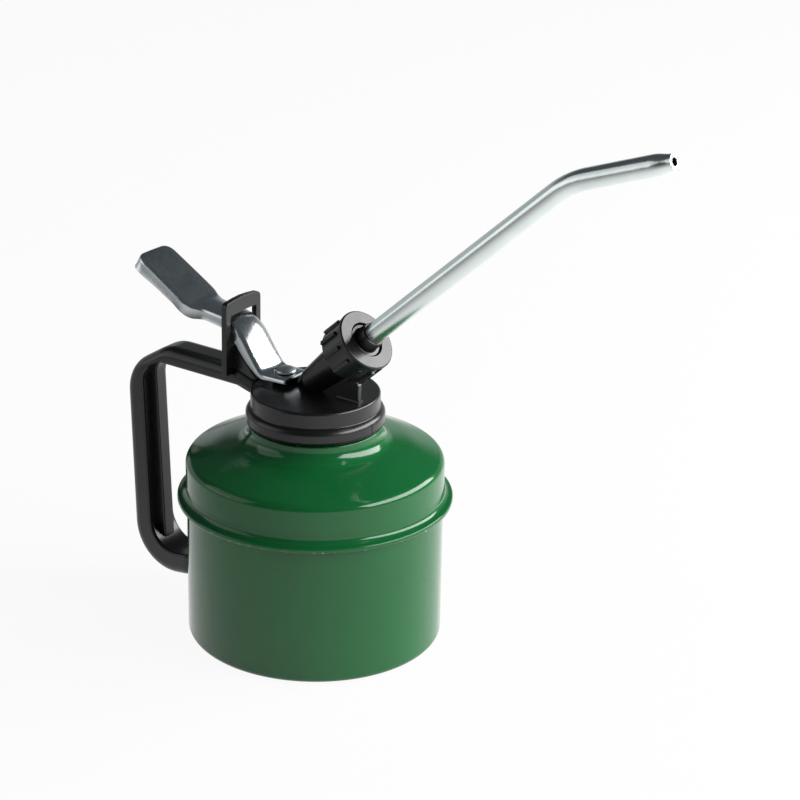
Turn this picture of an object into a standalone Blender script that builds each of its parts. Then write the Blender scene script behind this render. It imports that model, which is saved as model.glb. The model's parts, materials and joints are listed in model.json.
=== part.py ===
"""Pump oil can: a round steel can, a screw-on pump head with a bent spout, and a thumb lever.

The frame is metres with +Z up. The origin is the centre of the can's flat base, the spout points
along +X and the handle along -X, so that the plane Y = 0 is the plane of symmetry.
"""

import math

import bmesh
import bpy
from mathutils import Matrix, Vector

# Fits and steps
GAP = 0.0003  # clearance between two pieces that seat on each other
OVERRUN = 0.002  # how far a cutter runs past what it cuts
WELD = 0.000001  # distance at which the points of one mesh are merged
CAN_STEPS = 56  # facets round the can and the head
MID_STEPS = 28  # facets round the branch and the barrel
SMALL_STEPS = 18  # facets round tubes, rods and balls
ROUND_STEPS = 3  # bands round a long edge
ARC_STEP = math.radians(15)  # turn between two points of a rounded corner
COARSE_STEP = math.radians(30)  # the same for small rounds

# Can: drawn cup, rolled seam and domed top
CAN_RADIUS = 0.0500
SHEET = 0.0006
BASE_CORNER = 0.0025
SEAM_OVERHANG = 0.0037
SEAM_RADIUS = CAN_RADIUS + SEAM_OVERHANG
SEAM_BOTTOM = 0.0566
SEAM_EDGE = 0.0018
SEAM_FLARE = 0.0016
SEAM_RISE = 0.0016
SEAM_ROUND = 0.0008
DRUM_STEP = 0.0003
DRUM_RADIUS = CAN_RADIUS + DRUM_STEP
DRUM_HEIGHT = 0.0172
DRUM_TOP = SEAM_BOTTOM + DRUM_HEIGHT
SHOULDER_ROUND = 0.0035
DOME_RISE = 0.0079
NECK_RADIUS = 0.0226
COLLAR_LEDGE = 0.0033
COLLAR_RADIUS = NECK_RADIUS + COLLAR_LEDGE
COLLAR_RISE = 0.0136
COLLAR_TOP = DRUM_TOP + COLLAR_RISE
COLLAR_ROUND = 0.0055
COLLAR_LIP = 0.0006

# Threaded neck and its gasket
NECK_WALL = 0.0008
NECK_RISE = 0.0092
NECK_TOP = COLLAR_TOP + NECK_RISE
NECK_FLANGE_DROP = 0.0045

# Pump head: screw cap with a bead, a flat deck and a slanted branch
HEAD_SKIRT = 0.00247
HEAD_RADIUS = NECK_RADIUS + HEAD_SKIRT
HEAD_HEIGHT = 0.0134
HEAD_TOP = COLLAR_TOP + HEAD_HEIGHT
HEAD_EDGE_ROUND = 0.0012
DECK = 0.0025
BEAD_PROUD = 0.00193
BEAD_RADIUS = HEAD_RADIUS + BEAD_PROUD
BEAD_HEIGHT = 0.0073
BEAD_SLOPE = 0.0033
BEAD_ROUND = 0.0020

# Spout axis: the line that the branch, nut, ferrule and tube share
SPOUT_X = 0.0240
SPOUT_LIFT = 0.0261
SPOUT_Z = HEAD_TOP + SPOUT_LIFT
SPOUT_RISE = math.radians(42.2)

# Branch of the head and the outlet valve in it
BRANCH_THREAD_RADIUS = 0.0085
BRANCH_THREAD = 0.0070
BRANCH_NECK_RADIUS = 0.0070
BRANCH_FOOT_RADIUS = 0.0052
BRANCH_LENGTH = 0.0365
BRANCH_FOOT = 0.0020
BRANCH_STEP = 0.0008
VALVE_BORE = 0.0030
VALVE_DEPTH = 0.0136
PASSAGE_BORE = 0.0014
PASSAGE_WALL = 0.0016
WEB_REACH = 0.0211
WEB_FRONT = 0.0067
WEB_THICKNESS = 0.0022
OUTLET_BALL_RADIUS = 0.0019
OUTLET_BALL_LIFT = 0.0010

# Union nut, ferrule and washer
NUT_RADIUS = 0.0123
NUT_BODY_RADIUS = 0.0115
NUT_LENGTH = 0.0129
NUT_RIM = 0.0012
NUT_BEVEL = 0.0004
NUT_STEP = 0.0007
NUT_FRONT = 0.0032
NUT_HOLE = 0.0071
NUT_LUG = 0.0010
NUT_LUGS = 12
LUG_FACETS = 1
LUG_GAP_FACETS = 3
LUG_START = 0.0040
LUG_INSET = 0.0004
FERRULE_FLANGE = 0.0012
FERRULE_SINK = 0.0008
FERRULE_NOSE = 0.0045
FERRULE_ROOT_RADIUS = 0.0053
FERRULE_TIP_RADIUS = 0.0048
WASHER = 0.0011
WASHER_BORE = 0.0018

# Spout tube
TUBE_RADIUS = 0.0040
TUBE_WALL = 0.0006
TUBE_STRAIGHT = 0.1154
TUBE_END = 0.0424
TUBE_BEND = math.radians(22.2)
TUBE_BEND_RADIUS = 0.0370
TIP_LENGTH = 0.0080
TIP_RADIUS = 0.0030

# Pump: everything on the upright pump axis
PUMP_INSET = 0.0081
PUMP_X = PUMP_INSET - NECK_RADIUS
BARREL_RADIUS = 0.0060
BARREL_WALL = 0.0010
BARREL_LENGTH = 0.0329
BOSS_WALL = 0.0007
BOSS_LENGTH = 0.0123
CHAMBER = 0.0012
CEILING = 0.0044
ROD_RADIUS = 0.0025
ROD_STUB_RADIUS = 0.0015
ROD_THREAD_DEPTH = 0.0080
PISTON_CLEARANCE = 0.0003
PISTON_HEIGHT = 0.0040
PISTON_DROP = 0.0308
PISTON_REST = HEAD_TOP - PISTON_DROP
CUP_HEIGHT = 0.0017
CUP_CLEARANCE = 0.0002
CUP_WALL = 0.0009
PISTON_NUT_RADIUS = 0.0032
PISTON_NUT_HEIGHT = 0.0017
GLAND_RADIUS = 0.0056
GLAND_HEAD = 0.0019
GLAND_SLEEVE_WALL = 0.0011
GLAND_DEPTH = 0.0026
PACKING = 0.0008
SCREW_HEAD_RADIUS = 0.0041
SCREW_HEAD_HEIGHT = 0.0021
SCREW_RADIUS = 0.0015

# Return spring
SPRING_WIRE = 0.0004
SPRING_CLEARANCE = 0.0007
SPRING_TURNS = 7
OUTLET_WIRE = 0.0003
OUTLET_SPRING_TURNS = 4
POINTS_PER_TURN = 10

# Foot valve, suction tube and strainer
FOOT_HEIGHT = 0.0082
FOOT_SPIGOT = 0.0030
FOOT_CHAMBER_RADIUS = 0.0029
FOOT_CHAMBER_DEPTH = 0.0072
FOOT_SEAT_RADIUS = 0.0012
NIPPLE_RADIUS = 0.0020
NIPPLE_LENGTH = 0.0055
INLET_BALL_RADIUS = 0.0021
CAGE_BORE = 0.0012
CAGE_HEIGHT = 0.0012
SUCTION_WALL = 0.0008
SUCTION_CLEARANCE = 0.0045
STRAINER_WALL = 0.0008
STRAINER_HEIGHT = 0.0090
STRAINER_FLOOR = 0.0030
STRAINER_SLOT = 0.0012
STRAINER_SLOT_HEIGHT = 0.0040

# Hoop that guides the lever
GUIDE_X = -0.0377
GUIDE_THICKNESS = 0.0024
GUIDE_WIDTH = 0.0215
GUIDE_LIFT = 0.0002
GUIDE_BOTTOM = HEAD_TOP + GUIDE_LIFT
GUIDE_CROWN = 0.0012
GUIDE_ROUND = 0.0030
WINDOW_WIDTH = 0.0160
WINDOW_RISE = 0.0174
WINDOW_SILL = GUIDE_BOTTOM + WINDOW_RISE
WINDOW_HEIGHT = 0.0069
WINDOW_TOP = WINDOW_SILL + WINDOW_HEIGHT
GUIDE_LINTEL = 0.0062
GUIDE_TOP = WINDOW_TOP + GUIDE_LINTEL

# Handle: strap, grip with an inner rib, and curled end
HANDLE_WIDTH = 0.0150
HANDLE_ROUND = 0.0028
STRAP_RISE = 0.0030
STRAP_TOP = HEAD_TOP + STRAP_RISE
STRAP_THICKNESS = 0.0072
GRIP_X = -0.0914
GRIP_LEAN = 0.0033
GRIP_THICKNESS = 0.0093
HANDLE_BOTTOM = 0.0033
CURL_DIP = 0.0025
CURL_RISE = 0.0013
HANDLE_TIP_X = -0.0575
CURL_THICKNESS = 0.0096
CURL_ROUND = 0.0195
SHOULDER_X = -0.0708
SHOULDER_DROP = 0.0130
SHOULDER_BEND = 0.0180
STRAP_BEND = 0.0150
INNER_BEND = 0.0100
RIB_DEPTH = 0.0034
RIB_WIDTH = 0.0058
RIB_BEND = 0.0070
STRAP_ROOT_DROP = 0.0032
BRACKET_REACH = 0.0165
BRACKET_DROP = 0.0047
BRACKET_WIDTH = 0.0090
GUSSET_RISE = 0.0087
GUSSET_WIDTH = 0.0120

# Lever: one pressed channel from the thumb pad to the tongue
LEVER_SHEET = 0.0011
PAD_END_X = -0.0814
PAD_END_RISE = 0.0228
PAD_END_Z = WINDOW_SILL + PAD_END_RISE
PAD_FOOT_X = -0.0546
PAD_FOOT_RISE = 0.0066
PAD_FOOT_Z = WINDOW_SILL + PAD_FOOT_RISE
PAD_CORNER = 0.0045
ROCKER_X = -0.0316
ROCKER_RISE = 0.0048
ROCKER_Z = WINDOW_SILL + ROCKER_RISE
TONGUE_X = -0.0199
TONGUE_OVERHANG = 0.0052
TONGUE_END_X = PUMP_X + TONGUE_OVERHANG
TONGUE_RISE = 0.0038
TONGUE_Z = HEAD_TOP + TONGUE_RISE
PAD_BEND = 0.0060
ROCKER_BEND = 0.0170
TONGUE_BEND = 0.0040
PAD_HALF_WIDTH = 0.0096
LEVER_CROWN = 0.0020
LEVER_FLANGE = 0.0048
FOLD_ROUND = 0.0013
NOTCH_RISE = 0.0004
NOTCH_TOP = WINDOW_SILL + NOTCH_RISE
NOTCH_DROP = 0.0034
NOTCH_BOTTOM = WINDOW_SILL - NOTCH_DROP
LEVER_STATION = 0.0053
NOTCH_CLEARANCE = 0.0005
NOTCH_FLARE = 0.0012
SLOT_TRAVEL = 0.0036

PAD_CORNER_SHARES = (0.12, 0.4, 0.8)  # places of the sections round the pad's corners

# Along the lever: share of its reach in X, then shares of half width, crown and flange depth
LEVER_SECTION_SHARES = (
    (0.000, 1.02, 0.15, 1.18),
    (0.045, 1.02, 0.20, 1.14),
    (0.190, 1.02, 0.25, 0.96),
    (0.298, 0.98, 0.40, 0.86),
    (0.353, 0.90, 0.50, 0.94),
    (0.409, 0.77, 0.60, 1.00),
    (0.478, 0.72, 0.75, 0.95),
    (0.561, 0.72, 0.80, 1.00),
    (0.623, 0.73, 0.80, 1.00),
    (0.672, 0.76, 0.90, 0.92),
    (0.720, 0.79, 1.00, 0.92),
    (0.769, 0.80, 0.90, 0.85),
    (0.816, 0.80, 0.70, 0.72),
    (0.848, 0.80, 0.40, 0.48),
    (0.880, 0.79, 0.08, 0.36),
    (1.000, 0.77, 0.05, 0.33),
)


def clear_scene():
    """Remove every object, so that the script gives the same model from any file."""
    for thing in list(bpy.data.objects):
        bpy.data.objects.remove(thing, do_unlink=True)


def finish(name, colour, roughness, metallic):
    """A material with the piece's colour, roughness and metallic value."""
    material = bpy.data.materials.new(name)
    material.use_nodes = True
    shader = material.node_tree.nodes["Principled BSDF"]
    shader.inputs["Base Color"].default_value = (*colour, 1.0)
    shader.inputs["Roughness"].default_value = roughness
    shader.inputs["Metallic"].default_value = metallic
    return material


def make_object(name, mesh_data, material, parent=None, location=(0.0, 0.0, 0.0)):
    """Turn a bmesh into a smooth-shaded object, carried by a parent where one is named."""
    bmesh.ops.recalc_face_normals(mesh_data, faces=mesh_data.faces)
    mesh = bpy.data.meshes.new(name)
    mesh_data.to_mesh(mesh)
    mesh_data.free()
    mesh.shade_smooth()
    mesh.set_sharp_from_angle(angle=math.radians(35))
    thing = bpy.data.objects.new(name, mesh)
    bpy.context.collection.objects.link(thing)
    thing.parent = parent
    thing.location = location
    if material is not None:
        mesh.materials.append(material)
    return thing


def make_axis(name, location, turn=0.0):
    """An empty on a joint's axis, turned about Y."""
    empty = bpy.data.objects.new(name, None)
    bpy.context.collection.objects.link(empty)
    empty.location = location
    empty.rotation_euler = (0.0, turn, 0.0)
    return empty


def hide_helper(thing):
    """Mark an object that only shapes another one."""
    thing.hide_render = True
    thing.display_type = "WIRE"
    return thing


def combine(target, helper, operation):
    """Join a helper to a piece, or cut it out of the piece."""
    hide_helper(helper)
    modifier = target.modifiers.new(helper.name, "BOOLEAN")
    modifier.operation = operation
    modifier.solver = "EXACT"
    modifier.object = helper


def bevel(thing, width, segments):
    """Round the sharp edges of a piece."""
    modifier = thing.modifiers.new("rounding", "BEVEL")
    modifier.width = width
    modifier.segments = segments
    modifier.limit_method = "ANGLE"
    modifier.angle_limit = math.radians(50)


def rounded(corners, arc_step=ARC_STEP):
    """The points of a line whose corners are given as (x, y, radius)."""
    points = []
    for index, (x, y, radius) in enumerate(corners):
        here = Vector((x, y))
        inner = 0 < index < len(corners) - 1
        if not inner or radius == 0:
            points.append(here)
            continue
        back = (Vector(corners[index - 1][:2]) - here).normalized()
        ahead = (Vector(corners[index + 1][:2]) - here).normalized()
        opening = back.angle(ahead)
        reach = radius / math.tan(opening / 2)
        centre = here + (back + ahead).normalized() * (radius / math.sin(opening / 2))
        turn = math.pi - opening
        steps = max(1, round(turn / arc_step))
        start = here + back * reach - centre
        side = -1.0 if back.x * ahead.y - back.y * ahead.x > 0 else 1.0
        for step in range(steps + 1):
            arm = Matrix.Rotation(side * turn * step / steps, 2) @ start
            points.append(centre + arm)
    return points


def offset(points, distance):
    """The same line moved to its left by a distance, with mitred corners."""
    moved = []
    for index, here in enumerate(points):
        before = points[max(index - 1, 0)]
        after = points[min(index + 1, len(points) - 1)]
        first = (here - before).normalized() if index > 0 else (after - here).normalized()
        second = (after - here).normalized() if index < len(points) - 1 else first
        normal = Vector((-first.y - second.y, first.x + second.x)).normalized()
        stretch = 1.0 / max(math.cos(first.angle(second) / 2), 0.3)
        moved.append(here + normal * distance * stretch)
    return moved


def closed_offset(points, distance):
    """A closed line, drawn anticlockwise, moved inwards by a distance."""
    moved = []
    for index, here in enumerate(points):
        first = (here - points[index - 1]).normalized()
        second = (points[(index + 1) % len(points)] - here).normalized()
        normal = Vector((-first.y - second.y, first.x + second.x)).normalized()
        moved.append(here + normal * (distance / max(math.cos(first.angle(second) / 2), 0.5)))
    return moved


def spun(points, steps):
    """A bmesh turned about Z from a line of (radius, height) that is closed or ends on the axis."""
    mesh_data = bmesh.new()
    ring = [mesh_data.verts.new((radius, 0.0, height)) for radius, height in points]
    on_axis = min(abs(points[0][0]), abs(points[-1][0])) < WELD
    pairs = list(zip(ring, ring[1:]))
    if not on_axis:
        pairs.append((ring[-1], ring[0]))
    edges = [mesh_data.edges.new(pair) for pair in pairs]
    bmesh.ops.spin(
        mesh_data,
        geom=ring + edges,
        cent=(0, 0, 0),
        axis=(0, 0, 1),
        angle=math.tau,
        steps=steps,
    )
    bmesh.ops.remove_doubles(mesh_data, verts=mesh_data.verts, dist=WELD)
    return mesh_data


def turned(name, points, steps, material=None, parent=None, location=(0.0, 0.0, 0.0)):
    """A turned piece, upright at a place or along its parent's axis."""
    return make_object(name, spun(points, steps), material, parent, location)


def ring_profile(inner, outer, bottom, top):
    """The four corners of a plain ring."""
    return [(inner, bottom), (outer, bottom), (outer, top), (inner, top)]


def rod_profile(radius, bottom, top):
    """The line of a plain rod."""
    return [(0.0, bottom), (radius, bottom), (radius, top), (0.0, top)]


def ball_profile(radius, height, steps):
    """Half a circle, from pole to pole."""
    turns = [-math.pi / 2 + math.pi * step / steps for step in range(steps + 1)]
    return [(max(radius * math.cos(turn), 0.0), height + radius * math.sin(turn)) for turn in turns]


def extruded(name, outline, low, high, across, material=None):
    """A plate: an outline filled and extruded along X (outline in Y, Z) or along Y (outline in X, Z)."""
    mesh_data = bmesh.new()
    if across == "X":
        corners = [mesh_data.verts.new((low, first, second)) for first, second in outline]
        step = (high - low, 0.0, 0.0)
    else:
        corners = [mesh_data.verts.new((first, low, second)) for first, second in outline]
        step = (0.0, high - low, 0.0)
    face = mesh_data.faces.new(corners)
    grown = bmesh.ops.extrude_face_region(mesh_data, geom=[face])
    fresh = [item for item in grown["geom"] if isinstance(item, bmesh.types.BMVert)]
    bmesh.ops.translate(mesh_data, verts=fresh, vec=step)
    return make_object(name, mesh_data, material)


def lofted(name, sections, material=None, parent=None):
    """A closed body through sections that have the same number of points each."""
    mesh_data = bmesh.new()
    rings = [[mesh_data.verts.new(point) for point in section] for section in sections]
    count = len(rings[0])
    for near, far in zip(rings, rings[1:]):
        for index in range(count):
            after = (index + 1) % count
            mesh_data.faces.new((near[index], near[after], far[after], far[index]))
    mesh_data.faces.new(rings[0])
    mesh_data.faces.new(list(reversed(rings[-1])))
    return make_object(name, mesh_data, material, parent)


def interpolate(table, place, column):
    """A value read from a table of shares, at a place in its first column."""
    place = min(max(place, table[0][0]), table[-1][0])
    for low, high in zip(table, table[1:]):
        if low[0] <= place <= high[0]:
            part = (place - low[0]) / (high[0] - low[0])
            return low[column] + (high[column] - low[column]) * part
    return table[-1][column]


def sheet_profile(corners):
    """Closed outline of a pressed sheet: its outer line and the same line one sheet further in."""
    outside = rounded(corners, COARSE_STEP)
    bends = [(x, y, radius if radius > 2 * SHEET else 0.0) for x, y, radius in corners]
    inside = offset(rounded(bends, COARSE_STEP), SHEET)
    return outside + inside[::-1]


def make_can_body(paint):
    """Drawn cup whose top edge is flared and rolled over the dome's flange."""
    corners = [
        (0.0, 0.0, 0.0),
        (CAN_RADIUS, 0.0, BASE_CORNER),
        (CAN_RADIUS, SEAM_BOTTOM - SEAM_FLARE, SEAM_ROUND),
        (SEAM_RADIUS, SEAM_BOTTOM, SEAM_ROUND),
        (SEAM_RADIUS, SEAM_BOTTOM + SEAM_EDGE, SEAM_ROUND),
        (DRUM_RADIUS + GAP, SEAM_BOTTOM + SEAM_EDGE + SEAM_RISE, 0.0),
    ]
    return turned("can_body", sheet_profile(corners), CAN_STEPS, paint)


def make_can_dome(paint):
    """Upper shell: flange in the seam, drum, shoulder, shallow dome and collar."""
    flange_radius = SEAM_RADIUS - SHEET - 2 * GAP
    drum_foot = SEAM_BOTTOM + SEAM_EDGE + SEAM_RISE - SHEET - 2 * GAP
    slope = SEAM_RISE / (SEAM_RADIUS - DRUM_RADIUS - GAP)
    corners = [
        (flange_radius, drum_foot - slope * (flange_radius - DRUM_RADIUS), 0.0),
        (DRUM_RADIUS, drum_foot, SHEET),
        (DRUM_RADIUS, DRUM_TOP, SHOULDER_ROUND),
        (COLLAR_RADIUS, DRUM_TOP + DOME_RISE, COLLAR_ROUND),
        (COLLAR_RADIUS, COLLAR_TOP, COLLAR_LIP),
        (NECK_RADIUS + GAP, COLLAR_TOP, 0.0),
    ]
    return turned("can_dome", sheet_profile(corners), CAN_STEPS, paint)


def make_neck_ring(steel):
    """Neck sleeve, with a flange that is soldered inside the dome's collar."""
    flange = COLLAR_RADIUS - SHEET - GAP
    flange_top = COLLAR_TOP - SHEET - GAP
    bore = NECK_RADIUS - NECK_WALL
    points = [
        (bore, flange_top - NECK_FLANGE_DROP),
        (flange, flange_top - NECK_FLANGE_DROP),
        (flange, flange_top),
        (NECK_RADIUS, flange_top),
        (NECK_RADIUS, NECK_TOP),
        (bore, NECK_TOP),
    ]
    return turned("neck_ring", points, CAN_STEPS, steel)


def deck_underside():
    """Height of the underside of the head's deck."""
    return HEAD_TOP - DECK


def make_neck_gasket(rubber):
    """Flat seal between the neck and the underside of the deck."""
    points = ring_profile(
        NECK_RADIUS - NECK_WALL, NECK_RADIUS, NECK_TOP + GAP, deck_underside() - GAP
    )
    return turned("neck_gasket", points, CAN_STEPS, rubber)


def head_line(clearance):
    """Outline of the head's outside, from the top of its deck to the foot of its skirt."""
    skirt_foot = COLLAR_TOP + GAP
    line = rounded(
        [
            (0.0, HEAD_TOP, 0.0),
            (HEAD_RADIUS, HEAD_TOP, HEAD_EDGE_ROUND),
            (HEAD_RADIUS, skirt_foot + BEAD_HEIGHT, BEAD_ROUND / 2),
            (BEAD_RADIUS, skirt_foot + BEAD_HEIGHT - BEAD_SLOPE, BEAD_ROUND),
            (BEAD_RADIUS, skirt_foot, BEAD_ROUND),
            (NECK_RADIUS + 2 * GAP, skirt_foot, 0.0),
        ],
        COARSE_STEP,
    )
    return offset(line, clearance) if clearance else line


def spout_point(along):
    """Place of a point on the spout axis, measured outwards from the nut's face."""
    return (
        SPOUT_X + along * math.cos(SPOUT_RISE),
        SPOUT_Z + along * math.sin(SPOUT_RISE),
    )


def branch_end():
    """Distance from the nut's face down to the branch's rim."""
    return NUT_FRONT + GAP + FERRULE_FLANGE + GAP + WASHER + GAP


def passage_depth():
    """Distance along the spout axis from the nut's face down to the pump chamber's roof."""
    return (SPOUT_Z - ceiling_height()) / math.sin(SPOUT_RISE)


def make_head_branch(axis):
    """Slanted tube for the spout: a threaded end, a taper to the deck and a duct below it."""
    end = -branch_end()
    duct = PASSAGE_BORE + PASSAGE_WALL
    points = [
        (0.0, end),
        (BRANCH_THREAD_RADIUS, end),
        (BRANCH_THREAD_RADIUS, end - BRANCH_THREAD),
        (BRANCH_NECK_RADIUS, end - BRANCH_THREAD - BRANCH_STEP),
        (BRANCH_FOOT_RADIUS, -BRANCH_LENGTH),
        (duct, -BRANCH_LENGTH - BRANCH_FOOT),
        (duct, -passage_depth()),
        (0.0, -passage_depth()),
    ]
    return turned("branch_shape", points, MID_STEPS, None, axis)


def make_head_web():
    """Upright web under the branch, in the plane of symmetry."""
    top_x, top_z = spout_point(-branch_end() - BRANCH_THREAD)
    foot_x, foot_z = spout_point(-BRANCH_LENGTH)
    outline = [
        (foot_x, HEAD_TOP - DECK / 2),
        (WEB_REACH, HEAD_TOP - DECK / 2),
        (WEB_REACH, HEAD_TOP + WEB_FRONT),
        (top_x, top_z),
        (foot_x, foot_z),
    ]
    return extruded("web_shape", outline, -WEB_THICKNESS / 2, WEB_THICKNESS / 2, "Y")


def ceiling_height():
    """Height of the roof of the pump chamber."""
    return HEAD_TOP - CEILING


def barrel_top():
    """Height of the barrel's rim, under the pump chamber."""
    return ceiling_height() - CHAMBER - GAP


def gland_floor():
    """Height of the shelf that the rod packing lies on."""
    return HEAD_TOP - GLAND_DEPTH


def boss_foot():
    """Height of the lower end of the boss that holds the barrel."""
    return deck_underside() - BOSS_LENGTH


def make_head_boss():
    """Boss under the deck, round the barrel's upper end."""
    points = rod_profile(BARREL_RADIUS + GAP + BOSS_WALL, boss_foot(), HEAD_TOP - DECK / 2)
    return turned("boss_shape", points, MID_STEPS, None, None, (PUMP_X, 0.0, 0.0))


def make_pump_bore():
    """All that is bored along the pump axis: barrel socket, chamber, rod hole and gland."""
    socket = BARREL_RADIUS + GAP
    chamber = BARREL_RADIUS - BARREL_WALL + GAP
    rod = ROD_RADIUS + GAP
    gland = rod + GLAND_SLEEVE_WALL + GAP
    shelf = barrel_top() + GAP
    points = [
        (0.0, boss_foot() - OVERRUN),
        (socket, boss_foot() - OVERRUN),
        (socket, shelf),
        (chamber, shelf),
        (chamber, ceiling_height()),
        (rod, ceiling_height()),
        (rod, gland_floor()),
        (gland, gland_floor()),
        (gland, HEAD_TOP + OVERRUN),
        (0.0, HEAD_TOP + OVERRUN),
    ]
    return turned("pump_cutter", points, MID_STEPS, None, None, (PUMP_X, 0.0, 0.0))


def make_outlet_bore(axis):
    """Passage from the pump chamber, and the wider bore for the outlet valve."""
    seat = -branch_end() - VALVE_DEPTH
    low = -passage_depth() - CHAMBER / 2
    points = [
        (0.0, low),
        (PASSAGE_BORE, low),
        (PASSAGE_BORE, seat),
        (VALVE_BORE, seat),
        (VALVE_BORE, OVERRUN - branch_end()),
        (0.0, OVERRUN - branch_end()),
    ]
    return turned("outlet_cutter", points, MID_STEPS, None, axis)


def make_pump_head(black, axis):
    """Cap, deck, branch, web and inner boss in one moulding, with the pump's bores."""
    hollow = NECK_RADIUS + 2 * GAP
    points = head_line(0.0) + [(hollow, deck_underside()), (0.0, deck_underside())]
    head = turned("pump_head", points, CAN_STEPS, black)
    combine(head, make_head_boss(), "UNION")
    combine(head, make_head_branch(axis), "UNION")
    combine(head, make_head_web(), "UNION")
    combine(head, make_outlet_bore(axis), "DIFFERENCE")
    combine(head, make_pump_bore(), "DIFFERENCE")
    return head


def make_lever_guide(black):
    """Upright hoop that stands astride the strap, with the window for the lever."""
    half = GUIDE_WIDTH / 2
    notch = HANDLE_WIDTH / 2 + GAP
    notch_top = STRAP_TOP + GAP
    side_top = GUIDE_TOP - GUIDE_CROWN
    outline = rounded(
        [
            (notch, notch_top, 0.0),
            (notch, GUIDE_BOTTOM, 0.0),
            (half, GUIDE_BOTTOM, 0.0),
            (half, side_top, GUIDE_ROUND),
            (0.0, GUIDE_TOP, 2 * GUIDE_WIDTH),
            (-half, side_top, GUIDE_ROUND),
            (-half, GUIDE_BOTTOM, 0.0),
            (-notch, GUIDE_BOTTOM, 0.0),
            (-notch, notch_top, 0.0),
        ]
    )
    guide = extruded("lever_guide", outline, GUIDE_X, GUIDE_X + GUIDE_THICKNESS, "X", black)
    half_window = WINDOW_WIDTH / 2
    window = [
        (-half_window, WINDOW_SILL),
        (half_window, WINDOW_SILL),
        (half_window, WINDOW_TOP),
        (-half_window, WINDOW_TOP),
    ]
    low = GUIDE_X - OVERRUN
    high = GUIDE_X + GUIDE_THICKNESS + OVERRUN
    combine(guide, extruded("window_cutter", window, low, high, "X"), "DIFFERENCE")
    return guide


def handle_outline():
    """Side view of the bar: strap along the top, grip down the back, curl at the foot."""
    foot_x = GRIP_X + GRIP_LEAN
    strap_low = STRAP_TOP - STRAP_THICKNESS
    curl_top = HANDLE_BOTTOM + CURL_THICKNESS
    root_x = -HEAD_RADIUS + OVERRUN
    tip_round = CURL_THICKNESS / 3
    return rounded(
        [
            (root_x, strap_low, 0.0),
            (root_x, STRAP_TOP - STRAP_ROOT_DROP, 0.0),
            (GUIDE_X + 2 * GUIDE_THICKNESS, STRAP_TOP, STRAP_BEND),
            (SHOULDER_X, STRAP_TOP, STRAP_BEND),
            (GRIP_X, STRAP_TOP - SHOULDER_DROP, SHOULDER_BEND),
            (foot_x, HANDLE_BOTTOM - CURL_DIP, CURL_ROUND),
            (HANDLE_TIP_X, HANDLE_BOTTOM + CURL_RISE, tip_round),
            (HANDLE_TIP_X, curl_top + CURL_RISE, tip_round),
            (foot_x + GRIP_THICKNESS, curl_top - CURL_DIP, CURL_ROUND - CURL_THICKNESS),
            (GRIP_X + GRIP_THICKNESS, strap_low, INNER_BEND),
            (root_x, strap_low, 0.0),
        ]
    )[:-1]


def make_handle_bar(black):
    """The bar of the handle: the outline in slices, drawn in towards both sides by the edge rounding."""
    outline = handle_outline()
    half = HANDLE_WIDTH / 2
    slices = []
    for side in (-1.0, 1.0):
        turns = [math.pi / 2 * step / ROUND_STEPS for step in range(ROUND_STEPS + 1)]
        if side < 0:
            turns.reverse()
        for turn in turns:
            sink = HANDLE_ROUND * (1.0 - math.cos(turn))
            across = side * (half - HANDLE_ROUND + HANDLE_ROUND * math.sin(turn))
            slices.append([(x, across, z) for x, z in closed_offset(outline, sink)])
    return lofted("handle", slices, black)


def rib_outline():
    """Side view of the rib inside the grip, with its back sunk into the bar."""
    foot_x = GRIP_X + GRIP_LEAN + GRIP_THICKNESS
    strap_low = STRAP_TOP - STRAP_THICKNESS
    curl_top = HANDLE_BOTTOM + CURL_THICKNESS
    sunk = GRIP_THICKNESS / 3
    reach = RIB_DEPTH + RIB_BEND + GAP
    corner = Vector((GRIP_X + GRIP_THICKNESS + INNER_BEND, strap_low - INNER_BEND))
    radius = INNER_BEND + STRAP_THICKNESS / 4
    turns = [math.pi * (ROUND_STEPS + step) / (2 * ROUND_STEPS) for step in range(ROUND_STEPS + 1)]
    back = [corner + Vector((math.cos(turn), math.sin(turn))) * radius for turn in turns]
    return back + rounded(
        [
            (foot_x - sunk, curl_top - sunk, 0.0),
            (foot_x + reach, curl_top - sunk, 0.0),
            (foot_x + reach, curl_top, 0.0),
            (foot_x + RIB_DEPTH, curl_top, RIB_BEND),
            (GRIP_X + GRIP_THICKNESS + RIB_DEPTH, strap_low, RIB_BEND),
            (GRIP_X + GRIP_THICKNESS + reach, strap_low, 0.0),
        ]
    )


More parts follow.
